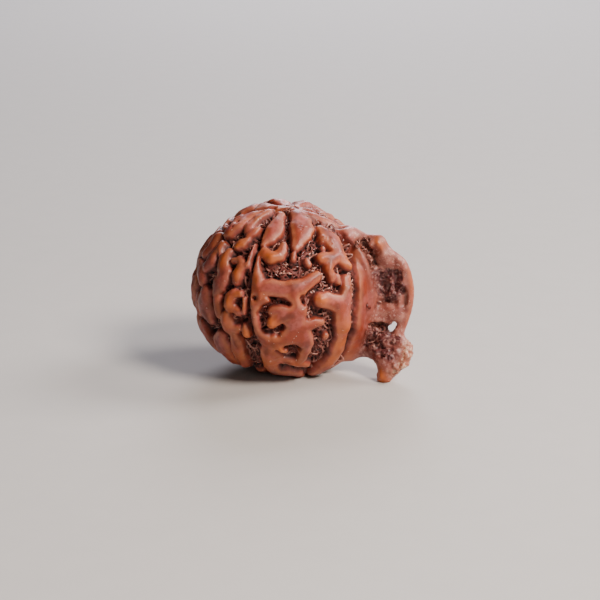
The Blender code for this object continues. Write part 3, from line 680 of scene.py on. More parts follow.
@dataclass(frozen=True)
class OiledSeedStone:
    """Rudraksha seed stone, dried, scrubbed and oiled.

    The lobes are dense and close-grained with a soft sheen from the oil. Handling wears their
    knobs to orange, and that orange also paints light glowing through thin knobs. A painted
    highlight lightens the lobes' edges and the crest's rim. Dried pulp colours the floors of the
    crevices, painted shade darkens them and the crest's pits, and the crest is a rosy skin that
    has torn to a purplish, fibrous inside.
    """

    ground: str = "8B341B"
    layers: tuple[Layer, ...] = (
        Layer("A04E44", None, 2.6, 0.45, 0.55, 0.0, 0.9),  # rosy patches of the dry skin
        Layer("5E2010", None, 1.7, 0.5, 0.62, 0.0, 0.7),  # darker, oil-soaked patches
        Layer("7A301C", None, 0.4, 0.48, 0.64, 0.0, 0.5),  # mottle
        # painted highlight: a lighter orange band along the inside of each lobe's edge
        Layer("B86A44", Mask.EDGE, 2.2, 0.36, 0.56, 0.1, 0.6),
        # orange wear, partly painted light: a glow through thin knobs and a highlight along the crest's rim
        Layer("B85C20", Mask.WEAR_AND_PAINTED_LIGHT, 0.9, 0.32, 0.56, 0.6, 1.0),
        Layer("B07262", Mask.CREST, 1.1, 0.38, 0.6, 0.3, 0.9),
        Layer("86403A", Mask.CREST, 0.6, 0.48, 0.6, 0.0, 0.7),
        # pale flecks, partly painted highlights on the crest's grains
        Layer("CE9A8C", Mask.CREST, 0.3, 0.58, 0.66, 0.0, 0.6),
        Layer("5E2A2A", Mask.TORN, 0.7, 0.3, 0.5, 0.75, 1.0),
        # pale flecks, partly painted highlights on the torn web's lumps
        Layer("BC8478", Mask.TORN, 0.42, 0.53, 0.62, 0.0, 0.65),
        Layer("9A5A42", Mask.BROKEN, 0.8, 0.3, 0.5, 0.8, 1.0),
        Layer("D8B496", Mask.BROKEN, 0.35, 0.54, 0.62, 0.0, 0.7),
        # pale specks, partly painted glints of light on the oiled lobes
        Layer("E0B8A0", None, 0.42, 0.7, 0.74, 0.0, 0.5),  # pale flecks
        Layer("7C3A32", Mask.PULP, 0.5, 0.35, 0.6, 0.7, 1.0),
        # painted shade: near-black where shade falls on the crevices' floors and in the crest's pits and
        # hollows
        Layer("1A0506", Mask.PAINTED_SHADE, 1.4, 0.3, 0.6, 0.85, 1.0),
    )
    rough_low: float = 0.42
    rough_high: float = 0.58
    rough_patch: float = 0.6  # millimetres from one duller patch to the next
    crevice_roughness: float = 0.7
    ior: float = 1.5
    oil_coat: float = 0.08
    oil_roughness: float = 0.28
    light_in: float = 0.05  # share of light that scatters under the skin
    light_reach: float = 0.4 * MM
    light_spread: Place = (1.0, 0.4, 0.25)  # red light gets furthest under the skin
    grain: float = 0.12  # millimetres between the dents of the bump
    grain_height: float = 0.02 * MM
    grain_strength: float = 0.6

    def colour(self, tree: NodeTree, where: NodeSocket) -> NodeSocket:
        """The stone's colour, laid up from its ground tone to the painted shade of its crevices.

        Args:
            tree: the material's nodes.
            where: the place on the object, in metres.

        Returns:
            The socket that gives the colour.
        """
        colour = None
        for layer in self.layers:
            scale = 1.0 / (layer.size * MM)
            noise = add_node(tree, "TexNoise", {"Scale": scale, "Detail": 2.0}, {"Vector": where})
            limits = {
                "From Min": layer.low, "From Max": layer.high, "To Min": layer.least, "To Max": layer.most,
            }
            share = add_node(tree, "MapRange", limits, {"Value": noise.outputs["Fac"]}).outputs["Result"]
            if layer.mask:
                mask = add_node(tree, "Attribute", {"attribute_name": layer.mask.value}).outputs["Fac"]
                both = add_node(tree, "Math", {"operation": "MULTIPLY"}, {0: share, 1: mask})
                share = both.outputs["Value"]
            settings = {"data_type": "RGBA", COLOUR_A: linear(self.ground), COLOUR_B: linear(layer.tint)}
            links = {FACTOR: share, COLOUR_A: colour} if colour else {FACTOR: share}
            colour = add_node(tree, "Mix", settings, links).outputs[COLOUR_OUT]
        return colour

    def material(self) -> Material:
        """The finished material.

        Returns:
            The material.
        """
        material, shader = new_material(
            "oiled_seed_stone",
            {
                "IOR": self.ior, "Coat Weight": self.oil_coat, "Coat Roughness": self.oil_roughness,
                "Subsurface Weight": self.light_in, "Subsurface Scale": self.light_reach,
                "Subsurface Radius": self.light_spread,
            },
        )
        tree = material.node_tree
        where = add_node(tree, "TexCoord").outputs["Object"]
        tree.links.new(self.colour(tree, where), shader.inputs["Base Color"])
        scale = 1.0 / (self.rough_patch * MM)
        noise = add_node(tree, "TexNoise", {"Scale": scale, "Detail": 3.0}, {"Vector": where})
        limits = {"From Min": 0.3, "From Max": 0.7, "To Min": self.rough_low, "To Max": self.rough_high}
        rough = add_node(tree, "MapRange", limits, {"Value": noise.outputs["Fac"]}).outputs["Result"]
        pulp = add_node(tree, "Attribute", {"attribute_name": Mask.PULP.value}).outputs["Fac"]
        settings = {"data_type": "FLOAT", NUMBER_B: self.crevice_roughness}
        rough = add_node(tree, "Mix", settings, {FACTOR: pulp, NUMBER_A: rough}).outputs[NUMBER_OUT]
        tree.links.new(rough, shader.inputs["Roughness"])
        scale = 1.0 / (self.grain * MM)
        height = add_node(tree, "TexNoise", {"Scale": scale, "Detail": 4.0}, {"Vector": where}).outputs["Fac"]
        settings = {"Strength": self.grain_strength, "Distance": self.grain_height}
        bump = add_node(tree, "Bump", settings, {"Height": height})
        tree.links.new(bump.outputs["Normal"], shader.inputs["Normal"])
        return material


@dataclass(frozen=True)
class DriedFibre:
    """Dried pulp fibre left in the crevices.

    Thin curled ribbons, darker at the root, that catch light along their backs.
    """

    light: str = "CC9080"
    dark: str = "60261F"
    roughness: float = 0.24
    ior: float = 1.5

    def material(self) -> Material:
        """The finished material.

        Returns:
            The material.
        """
        material, shader = new_material("dried_fibre", {"IOR": self.ior, "Roughness": self.roughness})
        tree = material.node_tree
        tone = add_node(tree, "Attribute", {"attribute_name": TONE}).outputs["Fac"]
        settings = {"data_type": "RGBA", COLOUR_A: linear(self.dark), COLOUR_B: linear(self.light)}
        colour = add_node(tree, "Mix", settings, {FACTOR: tone}).outputs[COLOUR_OUT]
        tree.links.new(colour, shader.inputs["Base Color"])
        return material


@dataclass(frozen=True)
class MattCard:
    """Pale card for the floor: even and without gloss, so that it only lifts the shadows."""

    colour: str = "BCB9B4"
    roughness: float = 0.85
    tooth: float = 4.0  # millimetres from one shade of the card to the next
    shades: Place = (0.97, 1.03)

    def material(self) -> Material:
        """The finished material.

        Returns:
            The material.
        """
        material, shader = new_material("matt_card", {"Roughness": self.roughness})
        tree = material.node_tree
        where = add_node(tree, "TexCoord").outputs["Object"]
        scale = 1.0 / (self.tooth * MM)
        tooth = add_node(tree, "TexNoise", {"Scale": scale, "Detail": 2.0}, {"Vector": where}).outputs["Fac"]
        limits = {"To Min": self.shades[0], "To Max": self.shades[1]}
        shade = add_node(tree, "MapRange", limits, {"Value": tooth}).outputs["Result"]
        settings = {"data_type": "RGBA", "blend_type": "MULTIPLY", FACTOR: 1.0, COLOUR_A: linear(self.colour)}
        tint = add_node(tree, "Mix", settings, {COLOUR_B: shade}).outputs[COLOUR_OUT]
        tree.links.new(tint, shader.inputs["Base Color"])
        return material


@dataclass(frozen=True)
class Body:
    """The plain body that the relief is raised on, in millimetres."""

    radii: Place = (10.86, 10.86, 10.37)  # twice at the equator, then at the poles
    rest_height: float = 10.18  # from the rest spot up to the middle of the body
    lean: float = 10.8  # degrees that the stalk axis leans
    lean_towards: float = -53.0  # compass angle from +X
    # Round, latitude, share of the radius and spread in degrees of each
    swellings: Line = ((22, -48, 0.085, 22), (140, -25, 0.02, 30), (126, -40, 0.035, 20))

    def lean_matrix(self) -> Array:
        """What turns the upright stalk axis to where it leans.

        Returns:
            The rotation, three by three.
        """
        towards = math.radians(self.lean_towards)
        hinge = Vector((-math.sin(towards), math.cos(towards), 0.0))
        return np.array(Matrix.Rotation(math.radians(self.lean), 3, hinge))

    def swelling(self, directions: Array) -> Array:
        """Radius of the body as a share of the plain ball's.

        Args:
            directions: unit vectors, one a row.

        Returns:
            The share for each.
        """
        share = np.ones(len(directions))
        for turn, latitude, extra, spread in self.swellings:
            away = np.degrees(np.arccos(np.clip(directions @ direction(turn, latitude), -1.0, 1.0)))
            share += extra * np.exp(-((away / spread) ** 2))
        return share

    def place(self, points: Array) -> tuple[Array, Array]:
        """Where points lie in the upright body.

        Args:
            points: millimetres from the middle of the body.

        Returns:
            Their directions, and their distance out as a share of the body's radius.
        """
        upright = points @ self.lean_matrix() / self.radii
        length = np.linalg.norm(upright, axis=1)
        directions = upright / length[:, None]
        return directions, length / self.swelling(directions)

    def surface(self, directions: Array) -> Array:
        """Where the leaning body's surface lies in each direction of the upright one."""
        return directions * self.swelling(directions)[:, None] * self.radii @ self.lean_matrix().T

    def mesh(self) -> Mesh:
        """The leaning ball with its swellings.

        Returns:
            The mesh.
        """
        ball = bmesh.new()
        bmesh.ops.create_icosphere(ball, subdivisions=6, radius=1.0)
        mesh = to_mesh(ball, "plain_body")
        set_points(mesh, self.surface(unit(get_points(mesh))))
        return mesh


@dataclass(frozen=True)
class Crest:
    """The thin crest that hooks down into the trunk, in millimetres."""

    body: Body = Body()
    outline: Line = CREST_OUTLINE
    outline_steps: int = 6  # from one point of the outline to the next
    root: float = 1.6  # half the thickness where it leaves the body
    root_fade: Place = (1.13, 1.02)  # shares of the body's radius over which the root thins out
    edge: float = 0.76  # half its thickness at the rounded rim
    web: float = 0.56  # and in the thin web behind the rim
    rim_width: float = 0.9
    rim_rounding: float = 0.92  # share of the thickness that the rounding takes away at the rim
    rim_end: Place = (0.35, 0.9)  # distances from the outline over which the rim turns to web
    tip: Place = (14.2, -8.2)  # middle of the trunk's foot
    tip_spread: float = 2.6
    tip_thicker: float = 0.55
    tip_forward: float = 2.0  # how far the foot bends towards the front
    bend_heights: Place = (-3.5, -10.0)  # heights over which it bends
    bend_reach: Place = (10.0, 13.0)  # distances out over which the bend sets in
    slot_middle: Place = (13.66, 0.0, -3.85)
    slot_size: Place = (1.7, 0.75)
    slot_rise: float = 55.0  # degrees that the slot climbs outwards
    front_ends: Place = (-0.2, 0.2)  # places across the crest over which its front turns to its back
    hollow_depth: float = 0.5
    hollow_grain: float = 0.4  # share that a hollow's depth varies by
    hollow_wander: float = 0.45  # how far a hollow's edge strays
    hollow_wander_length: float = 1.1
    back_share: float = 0.4  # a hollow is this share as deep on the crest's back
    swell_height: float = 0.34
    grain: float = 0.8
    rough: float = 0.15
    recess_depth: float = 0.7
    # Lengths of the marks that the solid hasn't, and heights of the plain skin's
    lump_length: float = 0.5
    pore_length: float = 0.3
    thread_length: float = 0.65
    sway_length: float = 0.9
    skin_marks: Place = (0.1, 0.07, 0.035)  # sway, lumps and pores
    rim_smoothness: float = 0.7  # share of these that the rim lacks
    trunk_lumps: float = 0.08
    trunk_heights: Place = (-4.6, -6.0)  # heights over which the trunk's lumps set in
    # Lumps, pores, threads and the height that they start from
    torn_marks: Place = (0.16, 0.0, 0.26, -0.12)
    pit_marks: Place = (0.0, 0.0, 0.35, -0.3)
    broken_marks: Place = (0.14, 0.14, 0.0, -0.05)
    torn_wander: float = 0.3
    torn_wander_length: float = 0.7
    torn_edge: Place = (0.4, 0.62)  # shares over which skin turns to torn web

    def curve_points(self) -> Array:
        """The outline as a closed smooth line through its points.

        Returns:
            X and Z, one point a row.
        """
        outline = np.array(self.outline)
        before, after, beyond = (np.roll(outline, shift, axis=0) for shift in (1, -1, -2))
        points = []
        for a, b, c, d in zip(before, outline, after, beyond):
            for t in np.arange(self.outline_steps) / self.outline_steps:
                slope, bend, twist = c - a, 2 * a - 5 * b + 4 * c - d, 3 * b - a - 3 * c + d
                points.append(0.5 * (2 * b + slope * t + bend * t**2 + twist * t**3))
        return np.array(points)

    def edge_distance(self, x: Array, z: Array) -> Array:
        """Millimetres to the outline."""
        points = self.curve_points()
        return line_distance(x, z, list(zip(points, np.roll(points, -1, axis=0))))

    def foot_share(self, x: Array, z: Array) -> Array:
        """1 at the trunk's foot, fading to 0 around it."""
        return np.exp(-(((x - self.tip[0]) ** 2 + (z - self.tip[1]) ** 2) / self.tip_spread**2))

    def shape(self, x: Array, z: Array) -> tuple[Array, Array]:
        """How thick the crest is and how it bends.

        Args:
            x: millimetres from the middle of the body.
            z: the same, upwards.

        Returns:
            Its half-thickness, and how far its middle lies forward.
        """
        out = np.hypot(x / self.body.radii[0], z / self.body.radii[2])
        from_rim = self.edge_distance(x, z)
        half = self.web + (self.root - self.web) * smooth_step(*self.root_fade, out)
        half += (self.edge - self.web) * np.exp(-((from_rim / self.rim_width) ** 2))
        half += self.tip_thicker * self.foot_share(x, z)
        round_off = np.clip(from_rim / self.edge, 0.0, 1.0)
        half *= np.sqrt(1.0 - (1.0 - round_off) ** 2 * self.rim_rounding)
        return half, self.tip_forward * smooth_step(*self.bend_heights, z) * smooth_step(*self.bend_reach, x)

    def slot_cutter(self) -> Object:
        """What cuts the slot through the crest: a narrow oval that climbs outwards.

        Returns:
            The object.
        """
        tool = bmesh.new()
        bmesh.ops.create_cone(tool, cap_ends=True, segments=32, radius1=0.5, radius2=0.5, depth=12)
        bmesh.ops.scale(tool, vec=(*self.slot_size, 1.0), verts=tool.verts)
        for angle, axis in ((90.0, "X"), (-self.slot_rise, "Y")):
            turn = Matrix.Rotation(math.radians(angle), 3, axis)
            bmesh.ops.rotate(tool, cent=(0, 0, 0), matrix=turn, verts=tool.verts)
        bmesh.ops.translate(tool, vec=self.slot_middle, verts=tool.verts)
        return new_object("slot_cutter", to_mesh(tool, "slot_cutter"))

    def plate(self) -> Mesh:
        """A plate 2 mm thick in the crest's outline.

        Returns:
            The mesh, upright in the XZ plane and closed.
        """
        outline = bpy.data.curves.new("crest_outline", "CURVE")
        outline.dimensions = "2D"
        outline.fill_mode = "BOTH"
        outline.extrude = 1.0
        spline = outline.splines.new("POLY")
        corners = self.curve_points()
        spline.points.add(len(corners) - 1)
        for point, (x, z) in zip(spline.points, corners):
            point.co = (x, z, 0.0, 1.0)
        spline.use_cyclic_u = True
        drawn = new_object("crest_outline", outline)
        drawn.rotation_euler = (math.radians(90), 0.0, 0.0)
        weld = bmesh.new()
        weld.from_mesh(evaluated(drawn, "crest"))
        bmesh.ops.remove_doubles(weld, verts=weld.verts, dist=0.01)
        bmesh.ops.recalc_face_normals(weld, faces=weld.faces)
        return to_mesh(weld, "crest")

    def mesh(self, voxel: float) -> Mesh:
        """The crest before its relief: the plate thinned, bent and slotted.

        Args:
            voxel: the size of its faces.

        Returns:
            The mesh.
        """
        plate = even_grain(self.plate(), voxel)
        points = get_points(plate)
        half, forward = self.shape(points[:, 0], points[:, 2])
        points[:, 1] = points[:, 1] * half - forward
        set_points(plate, points)
        blade, cutter = new_object("crest", plate), self.slot_cutter()
        cut = blade.modifiers.new("slot", "BOOLEAN")
        cut.operation = "DIFFERENCE"
        cut.object = cutter
        cut.solver = "EXACT"
        mesh = evaluated(blade, "crest")
        bpy.data.objects.remove(cutter)
        return mesh

    def behind_rim(self, x: Array, z: Array) -> Array:
        """0 on the rim and 1 on the web behind it."""
        return smooth_step(*self.rim_end, self.edge_distance(x, z))

    def hollows(self, points: Array) -> Array:
        """1 in the web's hollows, whose edges wander."""
        bend = self.hollow_wander * lattice_noise(points, self.hollow_wander_length, Field.HOLLOW_EDGE)
        return within(points[:, 0] + bend, points[:, 2] - bend, CREST_HOLLOWS, soft=0.4)

    def relief(self, points: Array) -> Array:
        """Height of a hollowed web, a plain rim and a rough, broken foot.

        Args:
            points: millimetres from the middle of the body.

        Returns:
            Millimetres over the plain crest.
        """
        x, z = points[:, 0], points[:, 2]
        web = self.behind_rim(x, z)
        grain = lattice_noise(points, self.grain, Field.CREST_GRAIN)
        behind = smooth_step(*self.front_ends, points[:, 1])
        depth = self.hollow_depth * (1.0 - (1.0 - self.back_share) * behind)
        depth *= 1.0 + self.hollow_grain * grain
        height = self.rough * grain * np.maximum(web, self.foot_share(x, z))
        height -= depth * web * self.hollows(points)
        return height + self.swell_height * web * within(x, z, CREST_SWELLS, soft=0.5)

    def torn(self, points: Array) -> Array:
        """Where the web's skin has torn, with a ragged edge.

        Args:
            points: millimetres from the middle of the body.

        Returns:
            1 where it has torn and 0 where it is whole.
        """
        x, z = points[:, 0], points[:, 2]
        places = np.maximum(within(x, z, WEB_PATCH, soft=0.7), within(x, z, UNDER_SLOT, soft=0.6))
        wander = self.torn_wander * lattice_noise(points, self.torn_wander_length, Field.TORN_EDGE)
        return smooth_step(*self.torn_edge, places + wander)

    def fine_relief(self, points: Array) -> Array:
        """Height of what is too fine for the solid: lumps on the torn web and pores in the foot.

        Args:
            points: millimetres from the middle of the body.

        Returns:
            Millimetres over the crest.
        """
        x, z = points[:, 0], points[:, 2]
        lumps = lattice_noise(points, self.lump_length, Field.LUMPS)
        pores = lattice_noise(points, self.pore_length, Field.PORES)
        threads = curled_noise(points, self.thread_length, Field.CREST_THREADS)
        sway = lattice_noise(points, self.sway_length, Field.CREST_SWAY)
        height = np.array(self.skin_marks) @ (sway, lumps, pores)
        height *= 1.0 - self.rim_smoothness * (1.0 - self.behind_rim(x, z))
        front = smooth_step(*self.front_ends[::-1], points[:, 1])
        height -= self.recess_depth * front * within(x, z, RECESS, soft=0.2)
        height += self.trunk_lumps * lumps * smooth_step(*self.trunk_heights, z)
        marks = np.stack((lumps, pores, threads, np.ones(len(points))))
        for share, heights in (
            (self.torn(points), self.torn_marks),
            (within(x, z, ROOT_PITS, soft=0.25), self.pit_marks),
            (within(x, z, BROKEN_END, soft=0.4), self.broken_marks),
        ):
            height += share * (np.array(heights) @ marks)
        return height


@dataclass(frozen=True)
class Relief:
    """Lobes, grooves and hollows of the body, in millimetres."""

    body: Body = Body()
    floor_depth: float = 0.9  # from a lobe's top down to the floor between the lobes
    bed: Place = (2.3, 1.5)  # millimetres aside of the crest over which the floor rises to meet it
    bed_depth: float = 0.4  # share of the floor's depth that is left beside the crest
    spread: float = 0.1  # how far each lobe grows past the half-widths of its line
    shoulder: float = 0.38  # width of a lobe's rounded edge
    skirt: float = 0.14  # how far that edge runs out past the lobe's outline
    melt: float = 0.16  # lobes that meet flow together over this distance
    dome: float = 0.1  # a broad lobe stands this much higher in its middle
    dome_rise: Place = (0.2, 1.2)  # distances inside its outline over which it does
    sway: float = 0.14
    sway_length: float = 2.6
    ragged: float = 0.11  # how far a lobe's outline wanders
    ragged_length: float = 0.9
    frayed: float = 0.06  # how far it wanders in shorter waves, which the solid hasn't
    frayed_length: float = 0.45
    knob_steepness: float = 2.0
    wild_sunk: float = 4.0  # sinks the formula's lobes where the lists give the lobes
    sunk: float = 0.35  # how much deeper than the solid's the dark floors are
    sunk_fall: Place = (0.15, -0.3)  # distances inside a lobe's outline over which they fall
    floor_edge: Place = (-0.02, -0.26)  # and those over which a lobe's side turns to floor
    thread_length: float = 0.7  # from one matted thread on a floor to the next
    thread_height: float = 0.42
    pillow: float = 0.14  # how much rounder than the solid's the lobes stand
    pillow_rise: Place = (0.0, 0.8)
    dent: float = 0.09
    dent_length: float = 1.1
    fine_dent: float = 0.025
    fine_dent_length: float = 0.35

    def hidden_groove(self, turn: float) -> Line:
        """One groove of the hidden sides, swaying as it runs from pole to pole.

        Args:
            turn: degrees round at the equator.

        Returns:
            The groove's line.
        """
        line = []
        for latitude in range(-80, 81, 8):
            sway = HIDDEN_GROOVE_WAVE * math.sin(math.radians(4 * latitude + 3 * turn))
            line.append((turn + sway, latitude, HIDDEN_GROOVE_WIDTH))
        return tuple(line)

    def shown_share(self, directions: Array) -> Array:
        """Where the lists give the lobes, and not the formula.

        Args:
            directions: unit vectors, one a row.

        Returns:
            1 where the lists do, and 0 where the formula does.
        """
        turn = -np.degrees(np.arctan2(directions[:, 1], directions[:, 0]))
        latitude = np.degrees(np.arcsin(np.clip(directions[:, 2], -1.0, 1.0)))
        start, started, ending, end = SHOWN_ROUND
        share = smooth_step(start, started, turn) * smooth_step(end, ending, turn)
        return share * smooth_step(*SHOWN_LOWEST, latitude)

    def wild_inside(self, on_ball: Array) -> Array:
        """How far places lie inside a lobe of the hidden sides.

        Args:
            on_ball: places on the plain ball, in millimetres.

        Returns:
            Millimetres, below 0 in the valleys.
        """
        bend = lattice_shift(on_ball, WILD_BEND_LENGTH, Field.WILD_BENDS)
        drawn_out = on_ball * (1.0, 1.0, WILD_STRETCH) + WILD_BEND * bend
        inside = np.full(len(on_ball), FAR)
        for number, length in enumerate(WILD_LENGTHS):
            field = lattice_noise(drawn_out, length, Field.WILD_LOBES + number)
            inside = np.minimum(inside, (np.abs(field) - VALLEY) * length)
        return inside

    def inside(self, directions: Array) -> Array:
        """How far each direction lies inside a lobe's outline.

        Args:
            directions: unit vectors, one a row.

        Returns:
            Millimetres, below 0 in the crevices.
        """
        on_ball = directions * MEAN_RADIUS
        inside = depth_inside(directions, SHOWN_LOBES, self.melt)
        wild = self.wild_inside(on_ball) - self.wild_sunk * self.shown_share(directions)
        inside = smooth_max(inside, wild, self.melt)
        inside += self.spread + self.ragged * lattice_noise(on_ball, self.ragged_length, Field.RAGGED)
        inside += self.frayed * lattice_noise(on_ball, self.frayed_length, Field.FRAYED)
        grooves = SHOWN_GROOVES + tuple(self.hidden_groove(turn) for turn in HIDDEN_GROOVES)
        cut = depth_inside(directions, SHOWN_HOLLOWS, self.melt)
        cut = np.maximum(cut, depth_inside(directions, grooves, self.melt))
        return -smooth_max(-inside, cut, self.melt)

    def beside_crest(self, directions: Array) -> Array:
        """The strip along the foot of the crest.

        Args:
            directions: unit vectors, one a row.

        Returns:
            1 in the strip and 0 away from it.
        """
        leaning = directions @ self.body.lean_matrix().T
        aside = np.where(leaning[:, 0] > 0.0, np.abs(leaning[:, 1]) * MEAN_RADIUS, FAR)
        return smooth_step(*self.bed, aside)

    def height(self, directions: Array, inside: Array) -> Array:
        """Height over the plain body, 0 on a lobe and about -floor_depth between lobes.

        Args:
            directions: unit vectors, one a row.
            inside: how far each lies inside a lobe's outline.

        Returns:
            Millimetres.
        """
        share = np.clip((inside + self.skirt) / self.shoulder, 0.0, 1.0)
        rise = np.sqrt(1.0 - (1.0 - share) ** 2)
        bed = self.beside_crest(directions)
        floor_depth = self.floor_depth * (1.0 - (1.0 - self.bed_depth) * bed)
        height = floor_depth * (rise - 1.0) + self.dome * smooth_step(*self.dome_rise, inside)
        height -= self.sunk * (1.0 - bed) * smooth_step(*self.sunk_fall, inside)
        for turn, latitude, radius, tall in SHOWN_KNOBS:
            away = away_from(directions, turn, latitude)
            height += tall * np.exp(-((away / radius) ** 2) * self.knob_steepness)
        return height + self.sway * lattice_noise(directions * MEAN_RADIUS, self.sway_length, Field.SWAY)

    def floor_share(self, inside: Array) -> Array:
        """1 on the floors of the crevices and 0 on the lobes."""
        return smooth_step(*self.floor_edge, inside)

    def threads(self, directions: Array) -> Array:
        """1 along the matted threads of the floors, and 0 between them."""
        return curled_noise(directions * MEAN_RADIUS, self.thread_length, Field.FLOOR_THREADS)

    def fine_height(self, directions: Array, inside: Array) -> Array:
        """Height of what is too fine for the solid: matted threads, dents and pinholes.

        Args:
            directions: unit vectors, one a row.
            inside: how far each lies inside a lobe's outline.

        Returns:
            Millimetres over the coarser relief.
        """
        on_ball = directions * MEAN_RADIUS
        floor = self.floor_share(inside)
        height = self.thread_height * floor * self.threads(directions)
        height += (1.0 - floor) * self.dent * lattice_noise(on_ball, self.dent_length, Field.DENTS)
        height += self.pillow * smooth_step(*self.pillow_rise, inside)
        fine_dents = lattice_noise(on_ball, self.fine_dent_length, Field.FINE_DENTS)
        height += (1.0 - floor) * self.fine_dent * fine_dents
        for turn, latitude, radius, deep in PINHOLES:
            height -= deep * np.exp(-((away_from(directions, turn, latitude) / radius) ** 2))
        return height


@dataclass(frozen=True)
class BeadSkin:
    """The whole bead's surface as one closed mesh, fine enough to show its crevices."""

    body: Body = Body()
    crest: Crest = Crest()
    relief: Relief = Relief()
    finish: OiledSeedStone = OiledSeedStone()
    first_voxel: float = 0.14
    last_voxel: float = 0.115
    quick_voxel: float = 0.2
    softening: float = 0.6  # how far the seam between crest and body is smoothed
    most_triangles: int = 197000
    crest_from: Place = (1.04, 1.12)  # shares of the body's radius over which the crest begins
    # Distances inside a lobe's outline over which each mask sets in
    painted_shade_rise: Place = (0.02, -0.14)
    pulp_rise: Place = (0.0, -0.12)
    amber_rise: Place = (0.0, 0.25)
    edge_highlight_rise: Place = (0.0, 0.2)
    edge_highlight_fall: Place = (0.75, 0.3)
    thread_rise: Place = (0.2, 0.75)  # shares of a thread's height over which it comes clear of the dark
    thread_clear: float = 0.9
    bed_clear: float = 0.55  # share of the dark and the pulp that the strip beside the crest lacks
    pit_painted_shade: float = 0.8
    hollow_painted_shade: float = 0.2
    rim_highlight_share: float = 0.75
    amber_gain: float = 1.2
    rim_highlight_edge: Place = (0.65, 0.15)  # distances from the outline over which the rim turns amber
    # Heights between which the rim is worn to amber and carries a painted highlight, each with how it fades
    rim_top: Place = (4.6, 3.2)
    rim_bottom: Place = (-4.2, -2.8)
    foot_top: Place = (-8.2, -9.2)
    # Where the trunk's skin is partly torn
    trunk_torn: float = 0.6
    trunk_top: Place = (-4.3, -5.6)
    trunk_side: Place = (15.8, 14.6)
    trunk_bottom: Place = (-9.0, -7.0)

    def plain_form(self, voxel: float) -> Mesh:
        """Body and crest run together in one even mesh, before the relief.

        Args:
            voxel: the size of its faces.

        Returns:
            The mesh.
        """
        both = bmesh.new()
        for mesh in (self.body.mesh(), self.crest.mesh(voxel)):
            both.from_mesh(mesh)
        return even_grain(to_mesh(both, "joined"), voxel, round((self.softening / voxel) ** 2))

    def on_crest(self, out: Array) -> Array:
        """0 on the body and 1 on the crest."""
        return smooth_step(*self.crest_from, out)

    def raise_relief(self, mesh: Mesh, fine: bool) -> None:
        """Moves each vertex along its normal by the formula for where it lies.

        Args:
            mesh: the bead so far.
            fine: adds the relief that is too fine for the solid, and not the solid's own.
        """
        points, normals = get_points(mesh), get_normals(mesh)
        directions, out = self.body.place(points)
        on_crest = self.on_crest(out)
        inside = self.relief.inside(directions)
        step = self.relief.fine_height if fine else self.relief.height
        crest_step = self.crest.fine_relief if fine else self.crest.relief
        height = (1.0 - on_crest) * step(directions, inside)
        there = np.flatnonzero(on_crest > 0.0)
        height[there] += on_crest[there] * crest_step(points[there])
        set_points(mesh, points + normals * height[:, None])

    def thin_out(self, mesh: Mesh) -> Mesh:
        """The same form in no more triangles than most_triangles.

        Args:
            mesh: the form.

        Returns:
            The mesh itself, or a thinner one.
        """
        mesh.calc_loop_triangles()
        ratio = self.most_triangles / len(mesh.loop_triangles)
        if ratio >= 1.0:
            return mesh
        obj = new_object("thinned", mesh)
        obj.modifiers.new("fewer faces", "DECIMATE").ratio = ratio
        return evaluated(obj, "bead_skin")

    def crest_masks(self, points: Array) -> tuple[Array, Array, Array, Array]:
        """What each point of the crest is.

        Args:
            points: millimetres from the middle of the body.

        Returns:
            How far it is a pit with painted shade, torn web, the broken end and the rim's wear and painted
            highlight.
        """
        x, z = points[:, 0], points[:, 2]
        # painted shade in the root's pits, the recess and the web's hollows
        pits = within(x, z, ROOT_PITS + RECESS, soft=0.25)
        pits = np.maximum(self.hollow_painted_shade * self.crest.hollows(points), pits)
        trunk = smooth_step(*self.trunk_top, z) * smooth_step(*self.trunk_side, x)
        trunk *= smooth_step(*self.trunk_bottom, z)
        torn = np.maximum(self.crest.torn(points), self.trunk_torn * trunk)
        worn = smooth_step(*self.rim_top, z) * smooth_step(*self.rim_bottom, z)
        worn += smooth_step(*self.foot_top, z)
        # painted highlight along the crest's rim, with orange wear at its ends and foot
        rim = self.rim_highlight_share * smooth_step(*self.rim_highlight_edge, self.crest.edge_distance(x, z))
        rim = np.maximum(rim * np.clip(worn, 0.0, 1.0), within(x, z, AMBER_ENDS, soft=0.5))
        return pits, torn, within(x, z, BROKEN_END, soft=0.4), rim

    def worn_share(self, directions: Array) -> Array:
        """How far handling has worn each place of the body to amber.

        Args:
            directions: unit vectors, one a row.

        Returns:
            The share, from 0 to 1.
        """
        worn = np.zeros(len(directions))
        for turn, latitude, radius, strength in AMBER_PLACES:
            away = away_from(directions, turn, latitude)
            worn = np.maximum(worn, strength * np.exp(-((away / radius) ** 2)))
        return np.minimum(self.amber_gain * worn, 1.0)

    def masks(self, mesh: Mesh) -> dict[Mask, Array]:
        """What each vertex is: painted shade, wear and painted light, painted edge highlight, web or broken.

        Args:
            mesh: the bead, in millimetres from the middle of the body.

        Returns:
            A number from 0 to 1 for each vertex, by mask.
        """
        points = get_points(mesh)
        directions, out = self.body.place(points)
        on_crest = self.on_crest(out)
        inside = self.relief.inside(directions)
        there = on_crest > 0.0
        marks = np.zeros((4, len(points)))
        marks[:, there] = self.crest_masks(points[there])
        pits, torn, broken, rim = marks
        amber = self.worn_share(directions) * smooth_step(*self.amber_rise, inside)
        # painted highlight along the lobes' edges
        edge = smooth_step(*self.edge_highlight_rise, inside) * smooth_step(*self.edge_highlight_fall, inside)
        threads = smooth_step(*self.thread_rise, self.relief.threads(directions))
        threads *= self.relief.floor_share(inside)
        off = 1.0 - on_crest
        floor = off * (1.0 - self.bed_clear * self.relief.beside_crest(directions))
